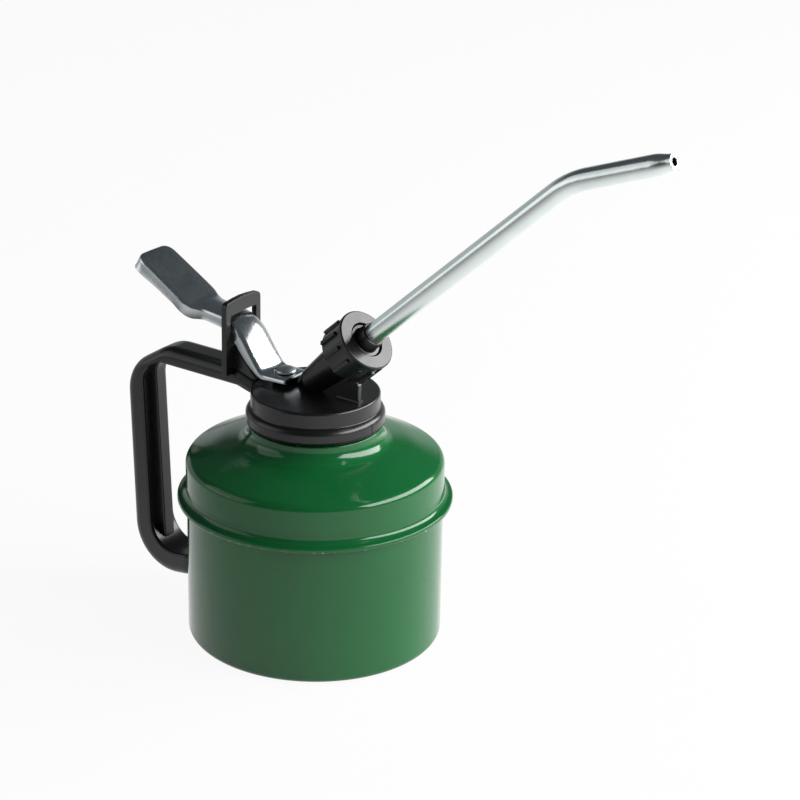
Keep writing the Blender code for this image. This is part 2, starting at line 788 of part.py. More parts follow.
def make_handle(black):
    """Strap, grip and curl in one rounded bar, with a rib down the inside of the grip."""
    handle = make_handle_bar(black)
    combine(handle, extruded("rib_shape", rib_outline(), -RIB_WIDTH / 2, RIB_WIDTH / 2, "Y"), "UNION")
    gusset_x = GUIDE_X + GUIDE_THICKNESS + GAP
    gusset_outline = [
        (gusset_x, STRAP_TOP - STRAP_THICKNESS / 2),
        (-HEAD_RADIUS + OVERRUN, STRAP_TOP - STRAP_THICKNESS / 2),
        (-HEAD_RADIUS + OVERRUN, STRAP_TOP - STRAP_ROOT_DROP),
        (gusset_x, STRAP_TOP + GUSSET_RISE),
    ]
    half_gusset = GUSSET_WIDTH / 2
    gusset = extruded("gusset_shape", gusset_outline, -half_gusset, half_gusset, "Y")
    combine(handle, gusset, "UNION")
    strap_low = STRAP_TOP - STRAP_THICKNESS
    bracket_outline = [
        (-HEAD_RADIUS - BRACKET_REACH, strap_low + STRAP_THICKNESS / 4),
        (-HEAD_RADIUS - BRACKET_REACH, strap_low),
        (-HEAD_RADIUS + OVERRUN, strap_low - BRACKET_DROP),
        (-HEAD_RADIUS + OVERRUN, strap_low + STRAP_THICKNESS / 4),
    ]
    half_bracket = BRACKET_WIDTH / 2
    bracket = extruded("bracket_shape", bracket_outline, -half_bracket, half_bracket, "Y")
    combine(handle, bracket, "UNION")
    saddle = head_line(GAP)
    saddle[0] = Vector((0.0, STRAP_TOP + OVERRUN))
    saddle[-1] = Vector((0.0, saddle[-1].y))
    saddle.insert(1, Vector((HEAD_RADIUS + GAP, STRAP_TOP + OVERRUN)))
    trimmed = [point for point in saddle[2:] if point.x > HEAD_RADIUS - HEAD_EDGE_ROUND / 2]
    line = saddle[:2] + trimmed + [saddle[-1]]
    combine(handle, turned("saddle_cutter", line, CAN_STEPS), "DIFFERENCE")
    return handle


def channel_points(half, crown, flange, sink):
    """Half-round channel section as (across, up): sink moves the whole line inwards."""
    side = half - sink
    top = -sink
    fold = FOLD_ROUND
    points = [(-side, -flange)]
    for step in range(4):
        turn = math.pi - step * math.pi / 6
        points.append((-side + fold + fold * math.cos(turn), top - fold + fold * math.sin(turn)))
    points.append((-side / 2, top + crown * 0.75))
    points.append((0.0, top + crown))
    points.extend([(-across, up) for across, up in reversed(points[:-1])])
    return points


def lever_path():
    """The lever's crown line in the plane of symmetry."""
    return rounded(
        [
            (PAD_END_X, PAD_END_Z, 0.0),
            (PAD_FOOT_X, PAD_FOOT_Z, PAD_BEND),
            (ROCKER_X, ROCKER_Z, ROCKER_BEND),
            (TONGUE_X, TONGUE_Z, TONGUE_BEND),
            (TONGUE_END_X, TONGUE_Z, 0.0),
        ]
    )


def dense_path(points, spacing):
    """The same path with more points on its straight runs."""
    dense = [points[0]]
    for low, high in zip(points, points[1:]):
        parts = max(1, round((high - low).length / spacing))
        dense.extend(low.lerp(high, part / parts) for part in range(1, parts + 1))
    return dense


def corner_inset(distance):
    """How much narrower the pad is on each side, at a distance from its end, for its round corners."""
    arm = max(PAD_CORNER - distance, 0.0)
    return PAD_CORNER - math.sqrt(PAD_CORNER**2 - arm**2)


def lever_stations():
    """The points of the lever's path that get a section, closer together round the pad's corners."""
    path = dense_path(lever_path(), LEVER_STATION)
    along = (path[1] - path[0]).normalized()
    extra = [path[0] + along * (PAD_CORNER * share) for share in PAD_CORNER_SHARES]
    return [path[0]] + extra + path[1:]


def lever_sections(sink, flange_extra, run_past):
    """Channel sections along the lever: the outside, or the inside for sink above 0."""
    path = lever_stations()
    end = path[0]
    if run_past:
        along = (path[1] - end).normalized()
        path = [end + along * LEVER_SHEET] + [spot for spot in path if (spot - end).length > PAD_CORNER / 3]
    reach = TONGUE_END_X - PAD_END_X
    sections = []
    for index, here in enumerate(path):
        before = path[max(index - 1, 0)]
        after = path[min(index + 1, len(path) - 1)]
        along = (after - before).normalized()
        up = Vector((-along.y, along.x))
        share = (here.x - PAD_END_X) / reach
        half = PAD_HALF_WIDTH * interpolate(LEVER_SECTION_SHARES, share, 1)
        half -= corner_inset((here - end).length)
        crown = LEVER_CROWN * interpolate(LEVER_SECTION_SHARES, share, 2)
        flange = LEVER_FLANGE * interpolate(LEVER_SECTION_SHARES, share, 3) + flange_extra
        base = here - up * crown
        if run_past and index == len(path) - 1:
            base = base + along * OVERRUN
        section = []
        for across, rise in channel_points(half, crown, flange, sink):
            spot = base + up * rise
            section.append((spot.x, across, spot.y))
        sections.append(section)
    return sections


def make_pump_lever(chrome):
    """Thumb pad, neck, rocker and tongue pressed from one sheet, flanges turned down."""
    lever = lofted("pump_lever", lever_sections(0.0, 0.0, False), chrome)
    wide = PAD_HALF_WIDTH + OVERRUN
    back = GUIDE_X - NOTCH_CLEARANCE
    front = GUIDE_X + GUIDE_THICKNESS + NOTCH_CLEARANCE
    notch = [
        (back, NOTCH_TOP),
        (back - NOTCH_FLARE, NOTCH_BOTTOM),
        (back - NOTCH_FLARE, NOTCH_BOTTOM - OVERRUN),
        (front + NOTCH_FLARE, NOTCH_BOTTOM - OVERRUN),
        (front + NOTCH_FLARE, NOTCH_BOTTOM),
        (front, NOTCH_TOP),
    ]
    combine(lever, extruded("notch_cutter", notch, -wide, wide, "Y"), "DIFFERENCE")
    inside = lofted("channel_cutter", lever_sections(LEVER_SHEET, OVERRUN, True))
    combine(lever, inside, "DIFFERENCE")
    combine(lever, make_slot_cutter(), "DIFFERENCE")
    return lever


def make_slot_cutter():
    """Slot in the tongue, in which the screw's shank slides as the lever rocks."""
    radius = SCREW_RADIUS + GAP
    far = PUMP_X + GAP
    near = PUMP_X - SLOT_TRAVEL
    steps = SMALL_STEPS // 2
    outline = []
    for centre, start in ((far, -math.pi / 2), (near, math.pi / 2)):
        for step in range(steps + 1):
            turn = start + math.pi * step / steps
            outline.append((centre + radius * math.cos(turn), radius * math.sin(turn)))
    mesh_data = bmesh.new()
    low = TONGUE_Z - LEVER_SHEET - OVERRUN
    corners = [mesh_data.verts.new((x, y, low)) for x, y in outline]
    face = mesh_data.faces.new(corners)
    grown = bmesh.ops.extrude_face_region(mesh_data, geom=[face])
    fresh = [item for item in grown["geom"] if isinstance(item, bmesh.types.BMVert)]
    bmesh.ops.translate(mesh_data, verts=fresh, vec=(0.0, 0.0, LEVER_SHEET + 2 * OVERRUN))
    return make_object("slot_cutter", mesh_data, None)


def rod_top():
    """Height of the rod's upper end, clear of the tongue at full swing."""
    return HEAD_TOP + GAP


def piston_top():
    """Height of the piston's upper face at rest."""
    return PISTON_REST + PISTON_HEIGHT


def make_lever_screw(chrome, axis):
    """Domed screw through the tongue's slot into the end of the pump rod."""
    seat = TONGUE_Z + GAP
    dome = rounded(
        [
            (0.0, seat + SCREW_HEAD_HEIGHT, 0.0),
            (SCREW_HEAD_RADIUS * 0.6, seat + SCREW_HEAD_HEIGHT * 0.86, SCREW_HEAD_RADIUS),
            (SCREW_HEAD_RADIUS, seat + SCREW_HEAD_HEIGHT * 0.25, 0.0),
            (SCREW_HEAD_RADIUS, seat, 0.0),
            (SCREW_RADIUS, seat, 0.0),
            (SCREW_RADIUS, rod_top() - ROD_THREAD_DEPTH + GAP, 0.0),
            (0.0, rod_top() - ROD_THREAD_DEPTH + GAP, 0.0),
        ]
    )
    return turned("lever_screw", dome, SMALL_STEPS, chrome, axis)


def make_pump_rod(steel, axis):
    """Rod with a threaded hole at the top and a stub for the piston at the foot."""
    hole = SCREW_RADIUS + GAP
    shoulder = piston_top() + GAP
    stub_foot = PISTON_REST - GAP - CUP_HEIGHT - GAP - PISTON_NUT_HEIGHT
    points = [
        (0.0, rod_top() - ROD_THREAD_DEPTH),
        (hole, rod_top() - ROD_THREAD_DEPTH),
        (hole, rod_top()),
        (ROD_RADIUS, rod_top()),
        (ROD_RADIUS, shoulder),
        (ROD_STUB_RADIUS, shoulder),
        (ROD_STUB_RADIUS, stub_foot),
        (0.0, stub_foot),
    ]
    return turned("pump_rod", points, SMALL_STEPS, steel, axis)


def make_piston(brass, axis):
    """Piston disc on the rod's stub."""
    bore = ROD_STUB_RADIUS + GAP
    radius = BARREL_RADIUS - BARREL_WALL - PISTON_CLEARANCE
    points = ring_profile(bore, radius, PISTON_REST, piston_top())
    return turned("piston", points, MID_STEPS, brass, axis)


def make_piston_cup(rubber, axis):
    """Cup seal under the piston, with its lip turned up along the barrel."""
    bore = ROD_STUB_RADIUS + GAP
    radius = BARREL_RADIUS - BARREL_WALL - CUP_CLEARANCE
    top = PISTON_REST - GAP
    foot = top - CUP_HEIGHT
    points = [
        (bore, foot),
        (radius - CUP_WALL / 2, foot),
        (radius, top),
        (radius - CUP_WALL, top),
        (radius - 1.5 * CUP_WALL, foot + CUP_WALL),
        (bore, foot + CUP_WALL),
    ]
    return turned("piston_cup", points, MID_STEPS, rubber, axis)


def make_piston_nut(steel, axis):
    """Nut that clamps the cup and the piston on the rod."""
    top = PISTON_REST - GAP - CUP_HEIGHT - GAP
    bore = ROD_STUB_RADIUS + GAP
    points = ring_profile(bore, PISTON_NUT_RADIUS, top - PISTON_NUT_HEIGHT, top)
    return turned("piston_nut", points, 6, steel, axis)


def make_gland_nut(brass, axis):
    """Hexagon nut on the deck, whose sleeve presses the packing."""
    bore = ROD_RADIUS + GAP
    sleeve = bore + GAP + GLAND_SLEEVE_WALL - GAP
    foot = gland_floor() + GAP + PACKING + GAP
    low = HEAD_TOP + GAP
    nut = turned("gland_nut", ring_profile(bore, sleeve, foot, low + GLAND_HEAD), SMALL_STEPS, brass, axis)
    head = ring_profile(bore + GAP, GLAND_RADIUS, low, low + GLAND_HEAD - GAP)
    combine(nut, turned("gland_hexagon", head, 6, None, axis), "UNION")
    return nut


def make_rod_packing(rubber, axis):
    """Packing ring round the rod."""
    bore = ROD_RADIUS + GAP
    outer = bore + GLAND_SLEEVE_WALL
    low = gland_floor() + GAP
    return turned("rod_packing", ring_profile(bore, outer, low, low + PACKING), SMALL_STEPS, rubber, axis)


def make_pump_barrel(steel, axis):
    """Tube that the piston runs in, held in the head's boss."""
    bore = BARREL_RADIUS - BARREL_WALL
    points = ring_profile(bore, BARREL_RADIUS, barrel_top() - BARREL_LENGTH, barrel_top())
    return turned("pump_barrel", points, MID_STEPS, steel, axis)


def foot_top():
    """Height at which the foot valve's body meets the barrel."""
    return barrel_top() - BARREL_LENGTH - GAP


def seat_height():
    """Height of the inlet ball's seat."""
    return foot_top() + FOOT_SPIGOT - FOOT_CHAMBER_DEPTH


def make_foot_valve(brass, axis):
    """Valve body with a spigot in the barrel, a ball chamber and a nipple below."""
    spigot = BARREL_RADIUS - BARREL_WALL - GAP
    foot = foot_top() - FOOT_HEIGHT
    points = [
        (FOOT_SEAT_RADIUS, foot - NIPPLE_LENGTH),
        (NIPPLE_RADIUS, foot - NIPPLE_LENGTH),
        (NIPPLE_RADIUS, foot),
        (BARREL_RADIUS, foot),
        (BARREL_RADIUS, foot_top()),
        (spigot, foot_top()),
        (spigot, foot_top() + FOOT_SPIGOT),
        (FOOT_CHAMBER_RADIUS, foot_top() + FOOT_SPIGOT),
        (FOOT_CHAMBER_RADIUS, seat_height()),
        (FOOT_SEAT_RADIUS, seat_height()),
    ]
    return turned("foot_valve", points, SMALL_STEPS, brass, axis)


def ball_rise(ball, hole):
    """Height of a ball's centre over the rim of the hole that it rests in, with its gap."""
    return math.sqrt(ball * ball - hole * hole) + GAP


def make_inlet_ball(steel, axis):
    """Ball of the foot valve, at rest on its seat."""
    centre = seat_height() + ball_rise(INLET_BALL_RADIUS, FOOT_SEAT_RADIUS)
    points = ball_profile(INLET_BALL_RADIUS, centre, 8)
    return turned("inlet_ball", points, SMALL_STEPS // 2 + 2, steel, axis)


def make_ball_cage(brass, axis):
    """Ring that keeps the inlet ball in its chamber."""
    top = foot_top() + FOOT_SPIGOT - GAP
    points = ring_profile(CAGE_BORE, FOOT_CHAMBER_RADIUS - GAP, top - CAGE_HEIGHT, top)
    return turned("ball_cage", points, SMALL_STEPS, brass, axis)


def make_suction_tube(steel, axis):
    """Tube from the foot valve's nipple to just above the base."""
    bore = NIPPLE_RADIUS + GAP
    top = foot_top() - FOOT_HEIGHT - GAP
    points = ring_profile(bore, bore + SUCTION_WALL, SUCTION_CLEARANCE, top)
    return turned("suction_tube", points, SMALL_STEPS, steel, axis)


def make_strainer(brass, axis):
    """Slotted cup over the foot of the suction tube."""
    bore = NIPPLE_RADIUS + GAP + SUCTION_WALL + GAP
    outer = bore + STRAINER_WALL
    top = STRAINER_FLOOR + STRAINER_HEIGHT
    points = [
        (0.0, STRAINER_FLOOR),
        (outer, STRAINER_FLOOR),
        (outer, top),
        (bore, top),
        (bore, SUCTION_CLEARANCE - GAP),
        (0.0, SUCTION_CLEARANCE - GAP),
    ]
    strainer = turned("strainer", points, SMALL_STEPS, brass, axis)
    half = STRAINER_SLOT / 2
    low = SUCTION_CLEARANCE + GAP
    slot = [
        (PUMP_X - half, low),
        (PUMP_X + half, low),
        (PUMP_X + half, low + STRAINER_SLOT_HEIGHT),
        (PUMP_X - half, low + STRAINER_SLOT_HEIGHT),
    ]
    wide = outer + OVERRUN
    combine(strainer, extruded("slot_across", slot, -wide, wide, "Y"), "DIFFERENCE")
    crossing = [
        (-half, low),
        (half, low),
        (half, low + STRAINER_SLOT_HEIGHT),
        (-half, low + STRAINER_SLOT_HEIGHT),
    ]
    along = extruded("slot_along", crossing, PUMP_X - wide, PUMP_X + wide, "X")
    combine(strainer, along, "DIFFERENCE")
    return strainer


def helix(name, radius, wire, low, high, turns, material, axis):
    """A coil spring along its parent's axis, as one unbroken tube with closed ends."""
    data = bpy.data.curves.new(name, "CURVE")
    data.dimensions = "3D"
    data.bevel_depth = wire
    data.bevel_resolution = 1
    data.use_fill_caps = True
    count = turns * POINTS_PER_TURN
    flat = POINTS_PER_TURN // 2
    climb = high - low - 2 * wire
    points = []
    for index in range(count + 1):
        turn = math.tau * index / POINTS_PER_TURN
        share = min(max((index - flat) / (count - 2 * flat), 0.0), 1.0)
        spot = (radius * math.cos(turn), radius * math.sin(turn), low + wire + climb * share)
        points.append(Vector(spot))
    points.insert(0, points[0] - Vector((0.0, 2 * wire, 0.0)))
    points.append(points[-1] + Vector((0.0, 2 * wire, 0.0)))
    spline = data.splines.new("POLY")
    spline.points.add(len(points) - 1)
    for slot, point in zip(spline.points, points):
        slot.co = (*point, 1.0)
    coils = zip(points[1:], points[1 + POINTS_PER_TURN : -1])
    least = min((upper - lower).length for lower, upper in coils) - 2 * wire
    print(f"{name}: least gap between turns {least * 1000:.2f} mm")
    spring = bpy.data.objects.new(name, data)
    bpy.context.collection.objects.link(spring)
    spring.parent = axis
    data.materials.append(material)
    return spring


def make_return_spring(steel, axis):
    """Spring between the piston and the roof of the pump chamber."""
    radius = ROD_RADIUS + SPRING_CLEARANCE + SPRING_WIRE
    low = piston_top() + GAP
    high = ceiling_height() - GAP
    return helix("return_spring", radius, SPRING_WIRE, low, high, SPRING_TURNS, steel, axis)


def outlet_ball_height():
    """Place of the outlet ball's centre along the spout axis."""
    return -branch_end() - VALVE_DEPTH + ball_rise(OUTLET_BALL_RADIUS, PASSAGE_BORE)


def make_outlet_ball(steel, axis):
    """Ball of the outlet valve in the branch."""
    points = ball_profile(OUTLET_BALL_RADIUS, outlet_ball_height(), 8)
    return turned("outlet_ball", points, SMALL_STEPS // 2 + 2, steel, axis)


def make_outlet_spring(steel, axis):
    """Light spring that stops the outlet ball's lift and sends it back to its seat."""
    low = outlet_ball_height() + OUTLET_BALL_RADIUS + OUTLET_BALL_LIFT + GAP
    high = -branch_end()
    radius = VALVE_BORE - GAP - OUTLET_WIRE
    turns = OUTLET_SPRING_TURNS
    return helix("outlet_spring", radius, OUTLET_WIRE, low, high, turns, steel, axis)


def make_spout_seal(rubber, axis):
    """Washer between the branch's rim and the ferrule."""
    low = -branch_end() + GAP
    outer = BRANCH_THREAD_RADIUS - GAP
    points = ring_profile(WASHER_BORE, outer, low, low + WASHER)
    return turned("spout_seal", points, MID_STEPS, rubber, axis)


def make_spout_ferrule(black, axis):
    """Flanged cone that the nut pulls against the washer, round the foot of the tube."""
    bore = TUBE_RADIUS + GAP
    back = -NUT_FRONT - GAP - FERRULE_FLANGE
    points = [
        (bore, back),
        (BRANCH_THREAD_RADIUS, back),
        (BRANCH_THREAD_RADIUS, back + FERRULE_FLANGE),
        (NUT_HOLE - 2 * GAP, back + FERRULE_FLANGE),
        (NUT_HOLE - 2 * GAP, -FERRULE_SINK),
        (FERRULE_ROOT_RADIUS, -FERRULE_SINK),
        (FERRULE_TIP_RADIUS, FERRULE_NOSE - GAP),
        (FERRULE_TIP_RADIUS - GAP, FERRULE_NOSE),
        (bore, FERRULE_NOSE),
    ]
    return turned("spout_ferrule", points, MID_STEPS, black, axis)


def make_spout_nut(black, axis):
    """Union nut: flanged face, bored body and raised grip ribs."""
    bore = BRANCH_THREAD_RADIUS + GAP
    lug_front = -LUG_START
    lug_back = -NUT_LENGTH + LUG_INSET
    steps = NUT_LUGS * (LUG_FACETS + LUG_GAP_FACETS)
    points = [
        (NUT_HOLE, 0.0),
        (NUT_RADIUS - NUT_BEVEL, 0.0),
        (NUT_RADIUS, -NUT_BEVEL),
        (NUT_RADIUS, -NUT_RIM),
        (NUT_BODY_RADIUS, -NUT_RIM - NUT_STEP),
        (NUT_BODY_RADIUS, lug_front),
        (NUT_BODY_RADIUS, lug_back),
        (NUT_BODY_RADIUS, -NUT_LENGTH),
        (bore, -NUT_LENGTH),
        (bore, -NUT_FRONT),
        (NUT_HOLE, -NUT_FRONT),
    ]
    mesh_data = spun(points, steps)
    period = math.tau / NUT_LUGS
    facet = math.tau / steps
    lug_faces = []
    for face in mesh_data.faces:
        centre = face.calc_center_median()
        on_body = lug_back < centre.z < lug_front and math.hypot(centre.x, centre.y) > bore + GAP
        place = (math.atan2(centre.y, centre.x) % period) / facet
        if on_body and place < LUG_FACETS:
            lug_faces.append(face)
    grown = bmesh.ops.extrude_face_region(mesh_data, geom=lug_faces)
    for item in grown["geom"]:
        if isinstance(item, bmesh.types.BMVert):
            radius = math.hypot(item.co.x, item.co.y)
            item.co.x *= (radius + NUT_LUG) / radius
            item.co.y *= (radius + NUT_LUG) / radius
    bmesh.ops.delete(mesh_data, geom=lug_faces, context="FACES_ONLY")
    return make_object("spout_nut", mesh_data, black, axis)


def spout_centreline():
    """Centreline of the tube in the spout axis's own frame: (sideways, along) pairs."""
    start = -NUT_FRONT - GAP - FERRULE_FLANGE
    end_x = TUBE_END * math.sin(TUBE_BEND)
    end_z = TUBE_STRAIGHT + TUBE_END * math.cos(TUBE_BEND)
    return rounded(
        [(0.0, start, 0.0), (0.0, TUBE_STRAIGHT, TUBE_BEND_RADIUS), (end_x, end_z, 0.0)]
    )


def tube_skin(path, full, tip):
    """Rings round the tube's centreline, tapering over its last stretch."""
    end = path[-1]
    taper_start = path[-2].lerp(end, 1.0 - TIP_LENGTH / (end - path[-2]).length)
    stations = path[:-1] + [taper_start, end]
    rings = []
    for index, here in enumerate(stations):
        before = stations[max(index - 1, 0)]
        after = stations[min(index + 1, len(stations) - 1)]
        along = (after - before).normalized()
        across = Vector((along.y, -along.x))
        radius = tip if index == len(stations) - 1 else full
        ring = []
        for step in range(SMALL_STEPS):
            turn = math.tau * step / SMALL_STEPS
            spot = here + across * (radius * math.cos(turn))
            ring.append((spot.x, radius * math.sin(turn), spot.y))
        rings.append(ring)
    return rings


def make_spout_tube(chrome, axis):
    """Bent tube with a bore, drawn down at its tip."""
    path = spout_centreline()
    outside = tube_skin(path, TUBE_RADIUS, TIP_RADIUS)
    inside = tube_skin(path, TUBE_RADIUS - TUBE_WALL, TIP_RADIUS - TUBE_WALL)
    mesh_data = bmesh.new()
    skins = []
    for rings in (outside, inside):
        skins.append([[mesh_data.verts.new(point) for point in ring] for ring in rings])
    for rings in skins:
        for near, far in zip(rings, rings[1:]):
            join_rings(mesh_data, near, far)
    join_rings(mesh_data, skins[0][0], skins[1][0])
    join_rings(mesh_data, skins[0][-1], skins[1][-1])
    return make_object("spout_tube", mesh_data, chrome, axis)


def join_rings(mesh_data, near, far):
    """Quads between two rings of points."""
    count = len(near)
    for index in range(count):
        after = (index + 1) % count
        mesh_data.faces.new((near[index], near[after], far[after], far[index]))


def build():
    """Make every piece of the can."""
    clear_scene()
    green = finish("green_enamel", (0.02, 0.26, 0.10), 0.25, 0.0)
    black = finish("black_nylon", (0.03, 0.03, 0.03), 0.45, 0.0)
    chrome = finish("bright_plate", (0.80, 0.81, 0.82), 0.12, 1.0)
    steel = finish("plain_steel", (0.55, 0.56, 0.57), 0.35, 1.0)
    brass = finish("turned_brass", (0.75, 0.57, 0.28), 0.30, 1.0)
    rubber = finish("black_rubber", (0.02, 0.02, 0.02), 0.80, 0.0)
    spout_turn = math.pi / 2 - SPOUT_RISE
    spout_axis = make_axis("spout_axis", (SPOUT_X, 0.0, SPOUT_Z), spout_turn)
    pump_axis = make_axis("pump_axis", (PUMP_X, 0.0, 0.0))
    make_can_body(green)
    make_can_dome(green)
    make_neck_ring(steel)
    make_neck_gasket(rubber)
    make_pump_head(black, spout_axis)
    make_lever_guide(black)
    make_handle(black)
    make_pump_lever(chrome)
    make_lever_screw(chrome, pump_axis)
    make_pump_rod(steel, pump_axis)
    make_piston(brass, pump_axis)
    make_piston_cup(rubber, pump_axis)
    make_piston_nut(steel, pump_axis)
    make_gland_nut(brass, pump_axis)
    make_rod_packing(rubber, pump_axis)
    make_pump_barrel(steel, pump_axis)
    make_foot_valve(brass, pump_axis)
    make_inlet_ball(steel, pump_axis)
    make_ball_cage(brass, pump_axis)
    make_suction_tube(steel, pump_axis)
    make_strainer(brass, pump_axis)
    make_return_spring(steel, pump_axis)
    make_outlet_ball(steel, spout_axis)
    make_outlet_spring(steel, spout_axis)
    make_spout_seal(rubber, spout_axis)
    make_spout_ferrule(black, spout_axis)
    make_spout_nut(black, spout_axis)
    make_spout_tube(chrome, spout_axis)


build()
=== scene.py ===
import json
import math

import bpy
from mathutils import Matrix, Vector


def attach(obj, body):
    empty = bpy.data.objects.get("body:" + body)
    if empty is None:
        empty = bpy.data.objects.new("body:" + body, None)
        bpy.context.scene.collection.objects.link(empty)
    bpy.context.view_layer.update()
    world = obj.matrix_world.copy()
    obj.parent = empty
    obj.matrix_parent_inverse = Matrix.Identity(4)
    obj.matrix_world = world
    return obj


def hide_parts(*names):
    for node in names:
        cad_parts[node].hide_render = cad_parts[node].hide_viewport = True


# %% [markdown]
# # A pump oil can
#
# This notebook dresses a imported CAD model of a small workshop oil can. The frame
# gives one mesh for each real piece and one body for each piece that moves. We
# build a finer mesh for all that shows, let it ride on the right body, and give
# each surface the finish of the real thing.

# %% Load the frame
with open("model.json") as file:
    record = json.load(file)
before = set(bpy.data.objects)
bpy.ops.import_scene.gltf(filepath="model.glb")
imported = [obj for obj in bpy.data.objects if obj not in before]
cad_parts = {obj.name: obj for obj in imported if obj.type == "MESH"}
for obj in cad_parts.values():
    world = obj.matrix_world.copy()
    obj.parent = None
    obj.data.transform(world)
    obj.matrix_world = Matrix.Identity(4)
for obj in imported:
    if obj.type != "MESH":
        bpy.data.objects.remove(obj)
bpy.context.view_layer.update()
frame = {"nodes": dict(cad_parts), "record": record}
nodes = frame["nodes"]
MM = 0.001

# %% [markdown]
# ## The camera
#
# The picture is taken with a long lens from in front and a little above. A camera
# could be placed by eye, but the can's diameter and height fix it: the three
# directions below are the camera's own right, up and back in the can's frame, and
# the lens gives about 2.6 pixels to the millimetre at that distance.

# %% Camera
CAMERA_RIGHT = Vector((0.78801, 0.61566, 0.0))
CAMERA_UP = Vector((-0.23113, 0.29584, 0.92686))
CAMERA_BACK = Vector((0.57063, -0.73037, 0.37542))
CAMERA_PLACE = Vector((0.53858, -0.70952, 0.45720))

camera_data = bpy.data.cameras.new("photo_camera")
camera_data.lens = 112.5
camera_data.sensor_width = 36.0
camera_data.shift_x = 0.146
camera = bpy.data.objects.new("photo_camera", camera_data)
bpy.context.scene.collection.objects.link(camera)
turn = Matrix((CAMERA_RIGHT, CAMERA_UP, CAMERA_BACK)).transposed()
camera.matrix_world = Matrix.Translation(CAMERA_PLACE) @ turn.to_4x4()
bpy.context.scene.camera = camera
bpy.context.scene.view_settings.view_transform = "Standard"
print("the camera stands", round(CAMERA_PLACE.length, 3), "m from the can")

# %% [markdown]
# ## Small helpers
#
# Operators act on whatever is selected, and the frame leaves its meshes selected.
# So each step first selects nothing, then only what it works on. Colours are
# written as the hex codes that a picture shows and turned to linear light here.

# %% Selection
def deselect():
    """Leave edit mode and select nothing."""
    if bpy.context.object and bpy.context.object.mode != "OBJECT":
        bpy.ops.object.mode_set(mode="OBJECT")
    bpy.ops.object.select_all(action="DESELECT")


def pick(thing):
    """Make one object the only selected one."""
    deselect()
    thing.select_set(True)
    bpy.context.view_layer.objects.active = thing
    return thing


# %% Colours and nodes
def linear(code):
    """The linear colour of an sRGB hex code."""
    shares = [int(code[i : i + 2], 16) / 255 for i in (1, 3, 5)]
    return [s / 12.92 if s <= 0.04045 else ((s + 0.055) / 1.055) ** 2.4 for s in shares] + [1.0]


def add(material, kind, settings=None, links=None):
    """Add a node: settings are its properties or sockets, links are {socket: output}."""
    node = material.node_tree.nodes.new(kind)
    for key, value in (settings or {}).items():
        if isinstance(key, str) and hasattr(node, key):
            setattr(node, key, value)
        else:
            node.inputs[key].default_value = value
    for socket, output in (links or {}).items():
        material.node_tree.links.new(output, node.inputs[socket])
    return node


def maths(material, operation, first, second):
    """The outcome of a Math node whose second value is an output or a number."""
    if isinstance(second, float):
        node = add(material, "ShaderNodeMath", {"operation": operation, 1: second}, {0: first})
    else:
        node = add(material, "ShaderNodeMath", {"operation": operation}, {0: first, 1: second})
    return node.outputs[0]


def between(material, value, low, high, start=0.0, end=1.0):
    """Carry a value from the range start to end over to the range low to high."""
    settings = {1: start, 2: end, 3: low, 4: high}
    return add(material, "ShaderNodeMapRange", settings, {0: value}).outputs[0]


def new_material(name):
    """An empty node material and its output node."""
    material = bpy.data.materials.new(name)
    material.use_nodes = True
    material.node_tree.nodes.clear()
    return material, add(material, "ShaderNodeOutputMaterial")


# %% [markdown]
# ## The studio
#
# Small goods are photographed on white paper, here with one wide bank of soft light
# at the right and a weak fill at the left, in a room that is darker overhead. That
# is why the tops of the enamel and of the lever look deep, while the upright walls,
# which mirror the paper, look paler. The paper's white comes partly from a glow
# that only the camera and mirror-like rays see, so it puts no extra light on the
# can and keeps a faint shadow. What a shiny surface mirrors of that glow is a painted
# pool of light: it is made weaker away from the can and stronger towards the bank of
# light, in place of the light that would fall on real paper.

# %% White paper under the can
# Lengths are in metres here. The glow is a share of what the camera sees of the paper.
PAPER_SIZE = 7.0
PAPER_DROP = 0.0004
PAPER_GLOW = 0.93
# In a mirror the glow, painted light of the bank, falls to this share between two
# distances from the can, and goes from dim to bright across the middle of the picture.
FADE_FROM, FADE_TO, FADE_LEAVES = 0.30, 1.00, 0.45
SIDE_REACH, SIDE_DIM, SIDE_BRIGHT = 0.25, 0.66, 1.50

deselect()
bpy.ops.mesh.primitive_plane_add(size=PAPER_SIZE, location=(0, 0, -PAPER_DROP))
paper_floor = bpy.context.object
paper_floor.name = "paper_floor"
paper, paper_out = new_material("white_paper")
matt = add(paper, "ShaderNodeBsdfDiffuse", {"Color": linear("#e4e6e5")})
rays = add(paper, "ShaderNodeLightPath").outputs
mirrored = maths(paper, "MAXIMUM", rays["Is Glossy Ray"], rays["Is Transmission Ray"])
seen = maths(paper, "MAXIMUM", rays["Is Camera Ray"], mirrored)
spot = add(paper, "ShaderNodeTexCoord").outputs["Object"]
away = add(paper, "ShaderNodeVectorMath", {"operation": "LENGTH"}, {0: spot})
painted_light_falloff = between(paper, away.outputs["Value"], 1.0, FADE_LEAVES, FADE_FROM, FADE_TO)
across = add(
    paper, "ShaderNodeVectorMath", {"operation": "DOT_PRODUCT", 1: CAMERA_RIGHT}, {0: spot}
)
side = between(paper, across.outputs["Value"], SIDE_DIM, SIDE_BRIGHT, -SIDE_REACH, SIDE_REACH)
# Painted light: in mirrors the paper glows brighter near the can and towards the bank of light.
painted_light_pool = maths(paper, "MULTIPLY", maths(paper, "MULTIPLY", painted_light_falloff, side), mirrored)
shine = maths(paper, "ADD", painted_light_pool, rays["Is Camera Ray"])
glow = add(paper, "ShaderNodeEmission", {"Color": linear("#ffffff")}, {"Strength": shine})
mixed = add(
    paper, "ShaderNodeMixShader", None,
    {0: maths(paper, "MULTIPLY", seen, PAPER_GLOW), 1: matt.outputs[0], 2: glow.outputs[0]},
)
paper.node_tree.links.new(mixed.outputs[0], paper_out.inputs["Surface"])
paper_floor.data.materials.append(paper)

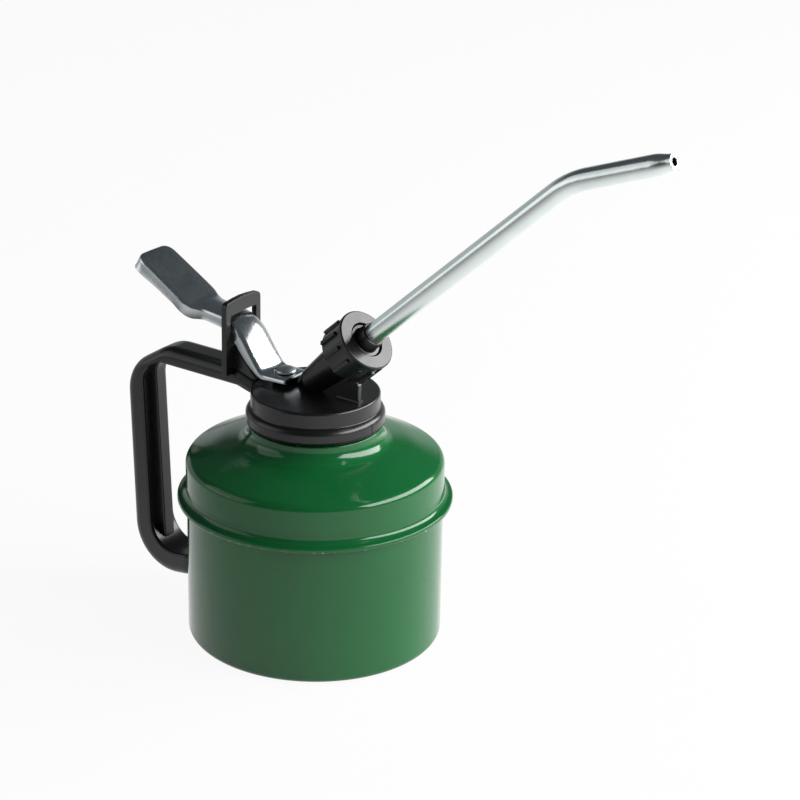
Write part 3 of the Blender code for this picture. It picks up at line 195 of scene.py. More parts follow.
# %% The room
# Pale walls stand low on one side only; the rest of the room and its ceiling are dark.
ROOM_LIT_SIDE = Vector((-0.94, 0.34, 0.0))
LIT_FROM, LIT_TO = 0.05, 0.45
WALL_UPTO, WALL_GONE = 0.18, 0.34
ROOM_DARK, ROOM_PALE = linear("#4a4f52"), linear("#c9cecf")

room = bpy.data.worlds.new("studio_room")
room.use_nodes = True
room.node_tree.nodes.clear()
room_out = add(room, "ShaderNodeOutputWorld")
way = add(room, "ShaderNodeTexCoord").outputs["Generated"]
height = add(room, "ShaderNodeSeparateXYZ", None, {0: way})
towards = add(
    room, "ShaderNodeVectorMath", {"operation": "DOT_PRODUCT", 1: ROOM_LIT_SIDE}, {0: way}
)
lit = between(room, towards.outputs["Value"], 0.0, 1.0, LIT_FROM, LIT_TO)
low = between(room, height.outputs[2], 1.0, 0.0, WALL_UPTO, WALL_GONE)
tone = add(
    room, "ShaderNodeMix", {"data_type": "RGBA", 6: ROOM_DARK, 7: ROOM_PALE},
    {0: maths(room, "MULTIPLY", lit, low)},
)
sky = add(room, "ShaderNodeBackground", {"Strength": 1.0}, {"Color": tone.outputs[2]})
room.node_tree.links.new(sky.outputs[0], room_out.inputs["Surface"])
bpy.context.scene.world = room


# %% Soft lights
CAN_MIDDLE = Vector((0.0, 0.0, 0.08))


def soft_light(name, place, size, power):
    """A rectangular soft light that faces the can."""
    deselect()
    bpy.ops.object.light_add(type="AREA", location=place)
    lamp = bpy.context.object
    lamp.name = name
    lamp.data.shape = "RECTANGLE"
    lamp.data.size, lamp.data.size_y = size
    lamp.data.energy = power
    lamp.rotation_mode = "QUATERNION"
    lamp.rotation_quaternion = (CAN_MIDDLE - Vector(place)).to_track_quat("-Z", "Y")
    return lamp


soft_light("right_bank", (0.955, 0.597, 0.65), (2.0, 0.6), 39)
soft_light("left_fill", (-0.95, -0.90, 0.60), (1.2, 1.0), 3)

# %% [markdown]
# ## Ways of making the pieces
#
# Most of this can is round, and a round piece is made as on a lathe: its outline
# is drawn in edit mode by extruding one point to the next, and Spin turns it about
# an axis. Flat mouldings are outlines that are filled and extruded. Arcs are
# worked out by a few lines of arithmetic, because a drawn outline needs them fine.

# %% Outlines
ARC = math.radians(9)
FINE_ARC = math.radians(5)


def rounded(corners, arc=ARC):
    """The points of a line whose corners are given as (x, y) or (x, y, radius), in mm."""
    points = []
    for index, corner in enumerate(corners):
        here = Vector(corner[:2])
        if len(corner) < 3 or index in (0, len(corners) - 1):
            points.append(here)
            continue
        back = (Vector(corners[index - 1][:2]) - here).normalized()
        ahead = (Vector(corners[index + 1][:2]) - here).normalized()
        opening = back.angle(ahead)
        centre = here + (back + ahead).normalized() * (corner[2] / math.sin(opening / 2))
        start = here + back * (corner[2] / math.tan(opening / 2)) - centre
        swing = math.pi - opening
        side = -1.0 if back.x * ahead.y - back.y * ahead.x > 0 else 1.0
        steps = max(2, round(swing / arc))
        for step in range(steps + 1):
            points.append(centre + Matrix.Rotation(side * swing * step / steps, 2) @ start)
    return points


def draw(name, points):
    """A new object whose mesh is a line through 3-D points in mm, left in edit mode."""
    deselect()
    bpy.ops.mesh.primitive_plane_add(size=MM, location=(0, 0, 0))
    thing = bpy.context.object
    thing.name = thing.data.name = name
    bpy.ops.object.mode_set(mode="EDIT")
    bpy.ops.mesh.select_mode(type="VERT")
    bpy.ops.mesh.select_all(action="SELECT")
    bpy.ops.mesh.merge(type="CENTER")
    spots = [Vector(point) * MM for point in points]
    bpy.ops.transform.translate(value=spots[0])
    for here, there in zip(spots, spots[1:]):
        bpy.ops.mesh.extrude_region_move(TRANSFORM_OT_translate={"value": there - here})
    return thing


# %% Finishing touches that every piece gets
SAME_SPOT = 0.000002
SMOOTH_UPTO = 32


def tidy(thing, angle=SMOOTH_UPTO):
    """Merge doubles, point the faces outwards and shade smooth up to an angle."""
    pick(thing)
    bpy.ops.object.mode_set(mode="EDIT")
    bpy.ops.mesh.select_all(action="SELECT")
    bpy.ops.mesh.remove_doubles(threshold=SAME_SPOT)
    bpy.ops.mesh.normals_make_consistent(inside=False)
    bpy.ops.object.mode_set(mode="OBJECT")
    bpy.ops.object.shade_smooth_by_angle(angle=math.radians(angle))
    return thing


def apply(thing, kind, **settings):
    """Add a modifier with its settings and apply it."""
    pick(thing)
    modifier = thing.modifiers.new(kind.lower(), kind)
    for key, value in settings.items():
        setattr(modifier, key, value)
    bpy.ops.object.modifier_apply(modifier=modifier.name)
    return thing


def even_out(thing):
    """Let the large faces decide the shading, so that flats stay flat beside their bevels."""
    return apply(thing, "WEIGHTED_NORMAL", keep_sharp=True, weight=60)


def merge(thing, helper, operation):
    """Unite a piece with a helper, or cut the helper out of it, and drop the helper."""
    apply(thing, "BOOLEAN", object=helper, operation=operation, solver="EXACT")
    bpy.data.objects.remove(helper)
    return thing


# %% Lathe and plate
VERY_FINE, FINE, MEDIUM, COARSE = 160, 96, 64, 48


def turned(name, line, steps):
    """A piece spun about Z from (radius, height) points in mm."""
    thing = draw(name, [(x, 0, z) for x, z in line])
    bpy.ops.mesh.select_all(action="SELECT")
    bpy.ops.mesh.spin(steps=steps, angle=math.tau, center=(0, 0, 0), axis=(0, 0, 1))
    return tidy(thing)


def plate(name, outline, low, high, across):
    """A plate from an outline in mm: in Y and Z, extruded along X, or in X and Z, along Y."""
    if across == "X":
        spots = [(low, a, b) for a, b in outline]
        reach = ((high - low) * MM, 0, 0)
    else:
        spots = [(a, low, b) for a, b in outline]
        reach = (0, (high - low) * MM, 0)
    thing = draw(name, spots)
    bpy.ops.mesh.select_all(action="SELECT")
    bpy.ops.mesh.edge_face_add()
    bpy.ops.mesh.extrude_region_move(TRANSFORM_OT_translate={"value": reach})
    return tidy(thing)


def soften(thing, width, segments=3, angle=50):
    """Round the sharp edges by a width in mm."""
    apply(
        thing, "BEVEL", width=width * MM, segments=segments, limit_method="ANGLE",
        angle_limit=math.radians(angle), use_clamp_overlap=True,
    )
    return tidy(thing)


def count(thing):
    """Print a piece's size and faces."""
    size = [round(side / MM, 1) for side in thing.dimensions]
    print(thing.name, size, "mm,", len(thing.data.polygons), "faces")
    return thing


# %% [markdown]
# ## The drawn cup
#
# The lower half is a steel cup drawn from one disc. Its top edge is flared and
# rolled over the flange of the upper half, which leaves the proud seam round the
# can. A spun line gives the outside, and Solidify gives the sheet its 0.6 mm.

# %% Cup
SHEET = 0.6
CAN_RADIUS = 50.0
SEAM_RADIUS = 53.7


def thicken(thing, thickness):
    """Give an open surface a wall of this many mm on its inner side."""
    apply(thing, "SOLIDIFY", thickness=thickness * MM, offset=-1.0, use_even_offset=True)
    bpy.ops.object.shade_smooth_by_angle(angle=math.radians(SMOOTH_UPTO))
    return thing


CUP_LINE = [
    (0, 0), (CAN_RADIUS, 0, 2.5), (CAN_RADIUS, 55.2, 0.9), (SEAM_RADIUS, 56.5, 0.8),
    (SEAM_RADIUS, 58.3, 0.7), (50.5, 58.9, 2.4), (50.36, 62.0),
]
can_body = thicken(turned("cup_shell", rounded(CUP_LINE), VERY_FINE), SHEET)
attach(can_body, "can")
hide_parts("can_body")
count(can_body)

# %% [markdown]
# ## The domed top
#
# The upper half is a second pressing: a short drum, a tight shoulder, a shallow
# dome with a little belly and a collar that carries the neck. The corners of the
# line below are its bends, each with the radius that the press tool leaves.

# %% Dome
DRUM_RADIUS = 50.3
COLLAR_RADIUS = 25.9
COLLAR_TOP = 87.4
DOME_LINE = [
    (52.0, 57.9), (DRUM_RADIUS, 58.2, 0.4), (DRUM_RADIUS, 73.6, 3.5), (38.0, 78.4, 40.0),
    (COLLAR_RADIUS, 81.2, 6.0), (COLLAR_RADIUS, COLLAR_TOP, 0.5), (22.9, COLLAR_TOP),
]
can_dome = thicken(turned("dome_shell", rounded(DOME_LINE, FINE_ARC), VERY_FINE), SHEET)
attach(can_dome, "can")
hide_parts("can_dome")
count(can_dome)

# %% [markdown]
# ## The pump head
#
# The head is one nylon moulding: a screw cap with a bead round its skirt, and a
# slanted branch for the spout with an upright web under it. Each form is simple on
# its own, so each is spun or extruded, softened, and united with the cap. A nick
# in the bead shows where the mould parted, and the bores for the pump rod and the
# outlet valve are cut last, as a drill would.

# %% Placing slanted pieces
SPOUT_X = 24.0
SPOUT_Z = 126.9
SPOUT_RISE = math.radians(42.2)
PUMP_X = -14.5


def on_spout(thing):
    """Turn an upright piece onto the spout's axis, with its zero at the nut's face."""
    pick(thing)
    thing.rotation_euler = (0, math.pi / 2 - SPOUT_RISE, 0)
    thing.location = (SPOUT_X * MM, 0, SPOUT_Z * MM)
    bpy.ops.object.transform_apply(location=True, rotation=True, scale=True)
    return thing


def on_pump(thing):
    """Move an upright piece onto the pump's axis."""
    pick(thing)
    thing.location = (PUMP_X * MM, 0, 0)
    bpy.ops.object.transform_apply(location=True, rotation=True, scale=True)
    return thing


def spout_place(along):
    """X and Z in mm of a point on the spout's axis."""
    return SPOUT_X + along * math.cos(SPOUT_RISE), SPOUT_Z + along * math.sin(SPOUT_RISE)


# %% Cap
HEAD_RADIUS = 25.07
HEAD_TOP = 100.8
HEAD_BOTTOM = 87.7
BEAD_RADIUS = 26.98
THREAD_RADIUS = 23.2
DECK_BOTTOM = 98.3
CAP_LINE = [
    (0, HEAD_TOP), (HEAD_RADIUS, HEAD_TOP, 1.0), (HEAD_RADIUS, 94.6, 0.5),
    (BEAD_RADIUS, 93.4, 2.6), (BEAD_RADIUS, 87.9, 2.2), (COLLAR_RADIUS, HEAD_BOTTOM),
    (THREAD_RADIUS, HEAD_BOTTOM), (THREAD_RADIUS, DECK_BOTTOM), (0, DECK_BOTTOM),
]
pump_head = turned("cap_and_branch", rounded(CAP_LINE, math.radians(7)), VERY_FINE)

# %% Branch, web and boss
BRANCH_END = -6.4
BRANCH_BOTTOM = -43.0
BRANCH_LINE = [
    (0, BRANCH_END), (8.5, BRANCH_END), (8.5, -13.4, 0.4), (7.2, -14.3, 0.6),
    (5.4, -34.6, 5.0), (3.0, -38.5), (3.0, BRANCH_BOTTOM), (0, BRANCH_BOTTOM),
]
branch = on_spout(turned("branch", rounded(BRANCH_LINE), FINE))

IN_DECK = 99.5
WEB_FRONT = 21.1
WEB_HALF = 1.1
top = spout_place(-13.8)
foot = spout_place(-34.0)
WEB_LINE = [(foot[0], IN_DECK), (WEB_FRONT, IN_DECK), (WEB_FRONT, 107.5), top, foot]
web = soften(plate("web", WEB_LINE, -WEB_HALF, WEB_HALF, "Y"), 0.35)
WEB_FOOT = [(-1.7, 100.6), (1.7, 100.6), (1.0, 101.5), (-1.0, 101.5)]
web_foot = plate("web_foot", WEB_FOOT, 11.0, WEB_FRONT + 0.5, "X")

BOSS_LINE = [(0, 86.0), (7.0, 86.0), (7.0, IN_DECK), (0, IN_DECK)]
boss = on_pump(turned("boss", BOSS_LINE, MEDIUM))
for form in (branch, web, web_foot, boss):
    merge(pump_head, form, "UNION")

# %% Parting line of the mould
NICK_DEPTH = 0.23
NICK = [(-0.2, 87.0), (0.2, 87.0), (0.2, 96.0), (-0.2, 96.0)]
nick = plate("mould_parting", NICK, BEAD_RADIUS - NICK_DEPTH, BEAD_RADIUS + 1.0, "X")
merge(pump_head, nick, "DIFFERENCE")

# %% Bores
PUMP_BORE = [
    (0, 84), (6.3, 84), (6.3, 95.2), (5.3, 95.2), (5.3, 96.4), (2.8, 96.4),
    (2.8, 98.2), (4.2, 98.2), (4.2, 103), (0, 103),
]
VALVE_BORE = [(0, -45.6), (1.4, -45.6), (1.4, -20.0), (3.0, -20.0), (3.0, -4.0), (0, -4.0)]
merge(pump_head, on_pump(turned("pump_drill", PUMP_BORE, MEDIUM)), "DIFFERENCE")
merge(pump_head, on_spout(turned("valve_drill", VALVE_BORE, COARSE)), "DIFFERENCE")
even_out(tidy(pump_head))
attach(pump_head, "head")
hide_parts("pump_head")
count(pump_head)

# %% [markdown]
# ## The hoop
#
# The hoop stands astride the strap and holds the lever in its window. It is a flat
# moulding, so its outline is filled and extruded, the window is cut through with a
# second plate, and a small bevel gives the light edges that a mould leaves.

# %% Hoop
GUIDE_BACK = -37.7
GUIDE_FRONT = -35.3
GUIDE_HALF = 10.75
GUIDE_BOTTOM = 100.9
half_hoop = [
    (7.3, 103.4), (7.3, GUIDE_BOTTOM), (GUIDE_HALF, GUIDE_BOTTOM), (GUIDE_HALF, 130.3, 2.3),
    (0, 131.5, 40.0),
]
other_half = [(-corner[0], *corner[1:]) for corner in reversed(half_hoop[:-1])]
hoop = plate("hoop", rounded(half_hoop + other_half), GUIDE_BACK, GUIDE_FRONT, "X")
WINDOW_HALF = 8.0
SILL = 118.4
LINTEL = 125.3
WINDOW = [
    (0, SILL), (WINDOW_HALF, SILL, 0.5), (WINDOW_HALF, LINTEL, 0.5),
    (-WINDOW_HALF, LINTEL, 0.5), (-WINDOW_HALF, SILL, 0.5), (0, SILL),
]
window = plate("window_cutter", rounded(WINDOW)[:-1], GUIDE_BACK - 1, GUIDE_FRONT + 1, "X")
merge(hoop, window, "DIFFERENCE")
even_out(soften(hoop, 0.28, 2))
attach(hoop, "head")
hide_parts("lever_guide")
count(hoop)

# %% [markdown]
# ## The handle
#
# Strap, grip and curl are one bar, bent in side view. The two outlines below are
# the sides of that view: the outer one meets the palm and has a large round along
# its edges, the inner one only a small one. A single bevel would round both alike,
# so the outer side's edges are picked and bevelled first, and the edges that are
# still sharp get the small round. A rib down the inside of the grip, a gusset
# behind the hoop and a bracket under the strap are added to it.

# %% Bar
HANDLE_HALF = 7.5
OUTER_ROUND = 4.2
INNER_ROUND = 1.1
STRAP_FRONT = -24.6
STRAP_TOP = 103.8
STRAP_BOTTOM = 96.6
CURL_X = -57.5
CURL_TOP = 15.8
OUTER_LINE = [
    (STRAP_FRONT, 100.9), (-32.9, STRAP_TOP, 15.0), (-70.8, STRAP_TOP, 15.0),
    (-91.4, 90.8, 18.0), (-88.1, 1.4, 19.5), (CURL_X, 5.9, 5.4), (CURL_X, CURL_TOP),
]
INNER_LINE = [
    (CURL_X, CURL_TOP), (-78.7, 12.3, 12.5), (-82.1, STRAP_BOTTOM, 10.0), (-31.0, STRAP_BOTTOM),
    (STRAP_FRONT, 95.0),
]
ON_LINE = 0.02
outer_side = rounded(OUTER_LINE, math.radians(6))
inner_side = rounded(INNER_LINE, math.radians(6))
handle = plate("grip_handle", outer_side + inner_side[1:], -HANDLE_HALF, HANDLE_HALF, "Y")
pick(handle)
bpy.ops.object.mode_set(mode="EDIT")
bpy.ops.mesh.select_mode(type="EDGE")
bpy.ops.mesh.select_all(action="DESELECT")
bpy.ops.object.mode_set(mode="OBJECT")
for edge in handle.data.edges:
    ends = [handle.data.vertices[index].co / MM for index in edge.vertices]
    on_outer = all(min((end.xz - spot).length for spot in outer_side) < ON_LINE for end in ends)
    runs_along = abs(ends[0].y - ends[1].y) < ON_LINE
    edge.select = on_outer and runs_along
bpy.ops.object.mode_set(mode="EDIT")
bpy.ops.mesh.bevel(offset=OUTER_ROUND * MM, segments=7, affect="EDGES", clamp_overlap=False)
bpy.ops.object.mode_set(mode="OBJECT")
soften(handle, INNER_ROUND, 4, 50)

# %% Rib, gusset and bracket
RIB_HALF, GUSSET_HALF, BRACKET_HALF = 2.9, 6.0, 4.5
ADDED_FRONT = -24.4
RIB_LINE = [
    (-84.0, 10.0), (-74.9, 15.2), (-78.7, STRAP_BOTTOM, 7.0), (-70.4, STRAP_BOTTOM),
    (-70.4, 98.6), (-76.0, 98.2), (-83.0, 93.0), (-85.0, 86.0),
]
rib = soften(plate("rib", rounded(RIB_LINE), -RIB_HALF, RIB_HALF, "Y"), 0.5)
GUSSET_LINE = [(-35.6, 100.5), (ADDED_FRONT, 100.5), (ADDED_FRONT, 101.0), (-35.6, 112.8)]
gusset = soften(plate("gusset", GUSSET_LINE, -GUSSET_HALF, GUSSET_HALF, "Y"), 0.5)
BRACKET_LINE = [(-41.6, 98.6), (-41.6, 96.8), (ADDED_FRONT, 92.4), (ADDED_FRONT, 98.6)]
bracket = soften(plate("bracket", BRACKET_LINE, -BRACKET_HALF, BRACKET_HALF, "Y"), 0.6)
for form in (rib, gusset, bracket):
    merge(handle, form, "UNION")
even_out(tidy(handle))
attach(handle, "head")
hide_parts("handle")
count(handle)

# %% [markdown]
# ## The lever
#
# The lever is pressed from one strip: a wide pad for the thumb, a rounded channel
# and a flat tongue, with the edges folded down. A bevelled box can't follow
# such a change of section, so a grid is laid along the lever's crown line instead
# and each of its rows takes the section at its place from the table. The table
# gives, at shares of the lever's reach, how wide, how crowned and how deep it is.

# %% Crown line and sections
PAD_END = Vector((-81.4, 141.2))
TONGUE_END_X = -9.3
TONGUE_Z = 104.6
PAD_CORNER = 4.5
FOLD = 1.3
LEVER_STEP = 1.1
PAD_ROWS, PAD_ROWS_END = [2.2, 3.2], 4.0
BLEND_STEP = 0.45
LEVER_LINE = [
    tuple(PAD_END), (-54.5, 125.9, 6.0), (-31.8, 123.7, 17.0), (-19.9, TONGUE_Z, 4.0),
    (TONGUE_END_X, TONGUE_Z),
]
LEVER_TABLE = [
    (0.000, 9.8, 0.3, 5.7), (0.045, 9.8, 0.4, 5.4), (0.190, 9.9, 0.5, 4.6),
    (0.300, 10.0, 0.7, 4.3), (0.345, 9.9, 0.8, 4.8), (0.378, 8.7, 0.8, 5.2),
    (0.412, 7.3, 0.9, 4.8), (0.450, 6.9, 1.0, 4.2), (0.561, 6.9, 1.2, 4.4),
    (0.623, 7.0, 1.4, 4.7), (0.672, 7.3, 1.7, 4.4), (0.720, 7.6, 2.0, 4.4),
    (0.769, 7.7, 1.8, 4.1), (0.816, 7.7, 1.4, 3.5), (0.848, 7.7, 0.8, 2.3),
    (0.880, 7.6, 0.2, 1.7), (1.000, 7.4, 0.1, 1.6),
]
LIP_SHARE = 0.07


def section_at(x):
    """Half width, crown and flange depth of the lever at a place along X."""
    share = min(max((x - PAD_END.x) / (TONGUE_END_X - PAD_END.x), 0.0), 1.0)
    for low, high in zip(LEVER_TABLE, LEVER_TABLE[1:]):
        if share <= high[0]:
            part = (share - low[0]) / (high[0] - low[0])
            return [a + (b - a) * part for a, b in zip(low[1:], high[1:])]
    return LEVER_TABLE[-1][1:]


def blended_section(x):
    """The section averaged over a short stretch, so that the pressing changes smoothly."""
    samples = [section_at(x + step * BLEND_STEP) for step in (-2, -1, 0, 1, 2)]
    return [sum(values) / len(values) for values in zip(*samples)]


def lever_rows():
    """Places along the crown line: (point, direction, distance from the pad's end)."""
    bends = rounded(LEVER_LINE, FINE_ARC)
    line = [bends[0]]
    for low, high in zip(bends, bends[1:]):
        parts = max(1, round((high - low).length / LEVER_STEP))
        line += [low.lerp(high, part / parts) for part in range(1, parts + 1)]
    along = (line[1] - line[0]).normalized()
    near = [FOLD * (1 - math.cos(math.radians(turn))) for turn in (25, 45, 65, 90)]
    spots = [line[0]] + [line[0] + along * gap for gap in near + PAD_ROWS]
    spots += [spot for spot in line if (spot - line[0]).length > PAD_ROWS_END]
    rows = []
    for index, spot in enumerate(spots):
        before, after = spots[max(index - 1, 0)], spots[min(index + 1, len(spots) - 1)]
        rows.append((spot, (after - before).normalized(), (spot - spots[0]).length))
    return rows


# %% Rows of the pressing
FOLD_TURNS = [math.radians(turn) for turn in (90, 65, 42, 21, 0)]
CROWN_SHARES = (0.72, 0.5, 0.25, 0.0)


def fold_drop(inset):
    """How far the surface is below the crown at a distance inside its edge."""
    gap = max(FOLD - inset, 0.0)
    return FOLD - math.sqrt(max(FOLD**2 - gap**2, 0.0))


def row_points(spot, along, distance, wall_only=False):
    """One row of the pressing, from one flange's foot over the crown to the other's."""
    half, crown, flange = blended_section(spot.x)
    round_left = max(PAD_CORNER - distance, 0.0)
    edge = half - PAD_CORNER + math.sqrt(PAD_CORNER**2 - round_left**2)
    lip = LIP_SHARE * (flange - FOLD)
    across = [edge + lip, edge, edge]
    across += [edge - FOLD * (1 - math.sin(turn)) for turn in FOLD_TURNS[1:]]
    inner = edge - FOLD
    across += [inner * share for share in CROWN_SHARES]
    rises = [-flange, -flange + 2 * lip, -FOLD]
    for place in across[3:]:
        if distance < PAD_CORNER and place > half - PAD_CORNER:
            inset = PAD_CORNER - math.hypot(place - half + PAD_CORNER, PAD_CORNER - distance)
        else:
            inset = min(half - place, distance)
        rises.append(crown * (1 - (place / half) ** 2) - fold_drop(inset))
    if wall_only:
        across[0] = edge
        rises = [-flange] * len(across)
    up = Vector((-along.y, along.x))
    base = spot - up * crown
    side = [
        (base.x + up.x * rise, place, base.y + up.y * rise) for place, rise in zip(across, rises)
    ]
    return side + [(x, -y, z) for x, y, z in reversed(side[:-1])]


rows = lever_rows()
table = [row_points(*rows[0], wall_only=True)] + [row_points(*row) for row in rows]
deselect()
bpy.ops.mesh.primitive_grid_add(
    x_subdivisions=len(table[0]) - 1, y_subdivisions=len(table) - 1, size=MM
)
pump_lever = bpy.context.object
pump_lever.name = pump_lever.data.name = "pressed_lever"
spots = [point for row in table for point in row]
for vertex, point in zip(pump_lever.data.vertices, spots):
    vertex.co = Vector(point) * MM
tidy(pump_lever, 40)

# %% Thickness, notch and slot
# The flanges are notched where the lever sits on the window's sill, and the slot in
# the tongue lets the screw's shank slide in it.
LEVER_SHEET = 1.0
NOTCH_TOP, NOTCH_SHOULDER, NOTCH_BOTTOM = 118.8, 115.0, 110.0
NOTCH_HALF = 12
SLOT_RADIUS = 1.8
SLOT_BOTTOM, SLOT_HEIGHT = 101.5, 5.0
apply(pump_lever, "SOLIDIFY", thickness=LEVER_SHEET * MM, offset=-1.0, use_even_offset=False)
NOTCH = [
    (GUIDE_BACK - 0.5, NOTCH_TOP), (GUIDE_BACK - 1.7, NOTCH_SHOULDER),
    (GUIDE_BACK - 1.7, NOTCH_BOTTOM), (GUIDE_FRONT + 1.7, NOTCH_BOTTOM),
    (GUIDE_FRONT + 1.7, NOTCH_SHOULDER), (GUIDE_FRONT + 0.5, NOTCH_TOP),
]
merge(pump_lever, plate("notch_cutter", NOTCH, -NOTCH_HALF, NOTCH_HALF, "Y"), "DIFFERENCE")
slot_ends = [(PUMP_X + 0.3, -90), (PUMP_X - 3.6, 90)]
slot_line = []
for x, start in slot_ends:
    for turn in range(0, 181, 12):
        swing = math.radians(start + turn)
        slot_line.append(
            (x + SLOT_RADIUS * math.cos(swing), SLOT_RADIUS * math.sin(swing), SLOT_BOTTOM)
        )
slot = draw("slot_cutter", slot_line)
bpy.ops.mesh.select_all(action="SELECT")
bpy.ops.mesh.edge_face_add()
bpy.ops.mesh.extrude_region_move(TRANSFORM_OT_translate={"value": (0, 0, SLOT_HEIGHT * MM)})
merge(pump_lever, tidy(slot), "DIFFERENCE")
soften(pump_lever, 0.18, 2)
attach(pump_lever, "lever")
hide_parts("pump_lever")
count(pump_lever)

# %% [markdown]
# ## The screw
#
# A domed screw joins the tongue to the pump rod, and the tongue's slot slides a
# little under it as the lever rocks. It is spun like the rest of the turned parts.

# %% Screw
SHANK_RADIUS = 1.5
SHANK_BOTTOM = 93.4
SCREW_SEAT = 104.9
SCREW_LINE = [
    (0, 107.0), (2.6, 106.7, 5.0), (4.0, 105.7, 0.8), (4.1, 104.95, 0.15), (3.9, SCREW_SEAT),
    (SHANK_RADIUS, SCREW_SEAT), (SHANK_RADIUS, SHANK_BOTTOM), (0, SHANK_BOTTOM),
]
screw = on_pump(turned("domed_screw", rounded(SCREW_LINE), COARSE))
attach(screw, "rod")
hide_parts("lever_screw")
count(screw)

# %% [markdown]
# ## The union nut
#
# The nut is moulded with twelve narrow ribs for the fingers. A spun ring of 2-degree
# facets gives four facets to each rib, and the ribs grow out of these by
# Shrink/Fatten. A bevel then breaks every edge.

# %% Nut
NUT_RIBS = 12
NUT_STEPS = 180
RIB_FROM, RIB_TO = 14, 22
RIB_BOTTOM, RIB_TOP, RIB_RISE = -12.5, -4.0, 1.0
NUT_RADIUS = 11.5
NUT_BOTTOM = -12.9
MOUTH_RADIUS, MOUTH_DEPTH = 7.1, -3.2
BORE_RADIUS = 8.8
NUT_LINE = [
    (MOUTH_RADIUS, MOUTH_DEPTH), (MOUTH_RADIUS, 0.0), (11.9, 0.0), (12.3, -0.4), (12.3, -1.2),
    (NUT_RADIUS, -1.9), (NUT_RADIUS, RIB_TOP), (NUT_RADIUS, RIB_BOTTOM), (NUT_RADIUS, NUT_BOTTOM),
    (BORE_RADIUS, NUT_BOTTOM), (BORE_RADIUS, MOUTH_DEPTH), (MOUTH_RADIUS, MOUTH_DEPTH),
]
nut = turned("union_nut", NUT_LINE, NUT_STEPS)
pick(nut)
bpy.ops.object.mode_set(mode="EDIT")
bpy.ops.mesh.select_mode(type="FACE")
bpy.ops.mesh.select_all(action="DESELECT")
bpy.ops.object.mode_set(mode="OBJECT")
for face in nut.data.polygons:
    x, y, z = (value / MM for value in face.center)
    place = math.degrees(math.atan2(y, x)) % (360 / NUT_RIBS)
    on_wall = math.hypot(x, y) > NUT_RADIUS - 0.5 and RIB_BOTTOM < z < RIB_TOP
    face.select = on_wall and RIB_FROM < place < RIB_TO
bpy.ops.object.mode_set(mode="EDIT")
bpy.ops.mesh.extrude_region_shrink_fatten(
    MESH_OT_extrude_region={"use_normal_flip": False},
    TRANSFORM_OT_shrink_fatten={"value": RIB_RISE * MM},
)
bpy.ops.object.mode_set(mode="OBJECT")
even_out(soften(nut, 0.14, 2, 35))
on_spout(nut)
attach(nut, "nut")
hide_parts("spout_nut")
count(nut)

# %% [markdown]
# ## The ferrule
#
# A nylon ferrule fills the nut's mouth and ends in a short cone round the tube. It
# turns with the tube, as the real one grips it.

# %% Ferrule
TUBE_ROOT = -4.7
FERRULE_BORE = 4.05
FERRULE_TIP = 4.3
FERRULE_LINE = [
    (FERRULE_BORE, TUBE_ROOT), (8.5, TUBE_ROOT), (8.5, -3.5), (6.6, -3.5), (6.6, -0.8, 0.15),
    (5.25, -0.8, 0.25), (4.75, 4.1, 0.3), (4.4, FERRULE_TIP, 0.1), (FERRULE_BORE, FERRULE_TIP),
    (FERRULE_BORE, TUBE_ROOT),
]
ferrule = on_spout(turned("ferrule", rounded(FERRULE_LINE), FINE))
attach(ferrule, "spout")
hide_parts("spout_ferrule")
count(ferrule)

# %% [markdown]
# ## The spout tube
#
# The spout is an 8 mm steel tube with one bend, drawn down at its tip. A circle is
# extruded ring by ring along the bend, each ring turned a little, which is how a
# tube bender works its way round. Solidify gives the wall, and the inner ring at
# the tip is drawn in to the small bore that lets the oil out in drops.

# %% Tube
TUBE_RADIUS = 4.0
TUBE_WALL = 0.6
TUBE_BEND = math.radians(22.2)
BEND_STEPS = 12
BEND_RADIUS = 37.0
STRAIGHT = 115.4
STRAIGHT_STEPS = 6
AFTER_BEND = 42.4
TIP = 8.0
TIP_RADII = [3.93, 3.75, 3.5, 3.22, 3.06, 3.0]
BORE_AT_TIP = 1.5
BORE_DEPTH, BORE_REACH = 1.6, 2.7

deselect()
bpy.ops.mesh.primitive_circle_add(
    vertices=MEDIUM, radius=TUBE_RADIUS * MM, location=(0, 0, TUBE_ROOT * MM)
)
tube = bpy.context.object
tube.name = tube.data.name = "spout_pipe"
bpy.ops.object.transform_apply(location=True, rotation=True, scale=True)
bpy.ops.object.mode_set(mode="EDIT")
bpy.ops.mesh.select_mode(type="VERT")
bpy.ops.mesh.select_all(action="SELECT")
tangent = BEND_RADIUS * math.tan(TUBE_BEND / 2)


def push(direction, reach):
    """Extrude the open end of the tube straight on by so many mm."""
    bpy.ops.mesh.extrude_region_move(TRANSFORM_OT_translate={"value": direction * (reach * MM)})


ahead = Vector((0, 0, 1))
for part in range(STRAIGHT_STEPS):
    push(ahead, (STRAIGHT - tangent - TUBE_ROOT) / STRAIGHT_STEPS)
centre = Vector((0, 0, STRAIGHT - tangent))
angle = TUBE_BEND / BEND_STEPS
chord = 2 * BEND_RADIUS * math.sin(angle / 2)
for step in range(BEND_STEPS):
    middle = Matrix.Rotation(angle / 2, 3, "Y") @ ahead
    push(middle, chord)
    centre += middle * chord
    bpy.ops.transform.rotate(value=-angle, orient_axis="Y", center_override=centre * MM)
    ahead = Matrix.Rotation(angle, 3, "Y") @ ahead
push(ahead, AFTER_BEND - tangent - TIP)
centre += ahead * (AFTER_BEND - tangent - TIP)
for before, after in zip([TUBE_RADIUS] + TIP_RADII, TIP_RADII):
    push(ahead, TIP / len(TIP_RADII))
    centre += ahead * (TIP / len(TIP_RADII))
    share = after / before
    bpy.ops.transform.resize(value=(share, share, share), center_override=centre * MM)
tidy(tube)
thicken(tube, TUBE_WALL)

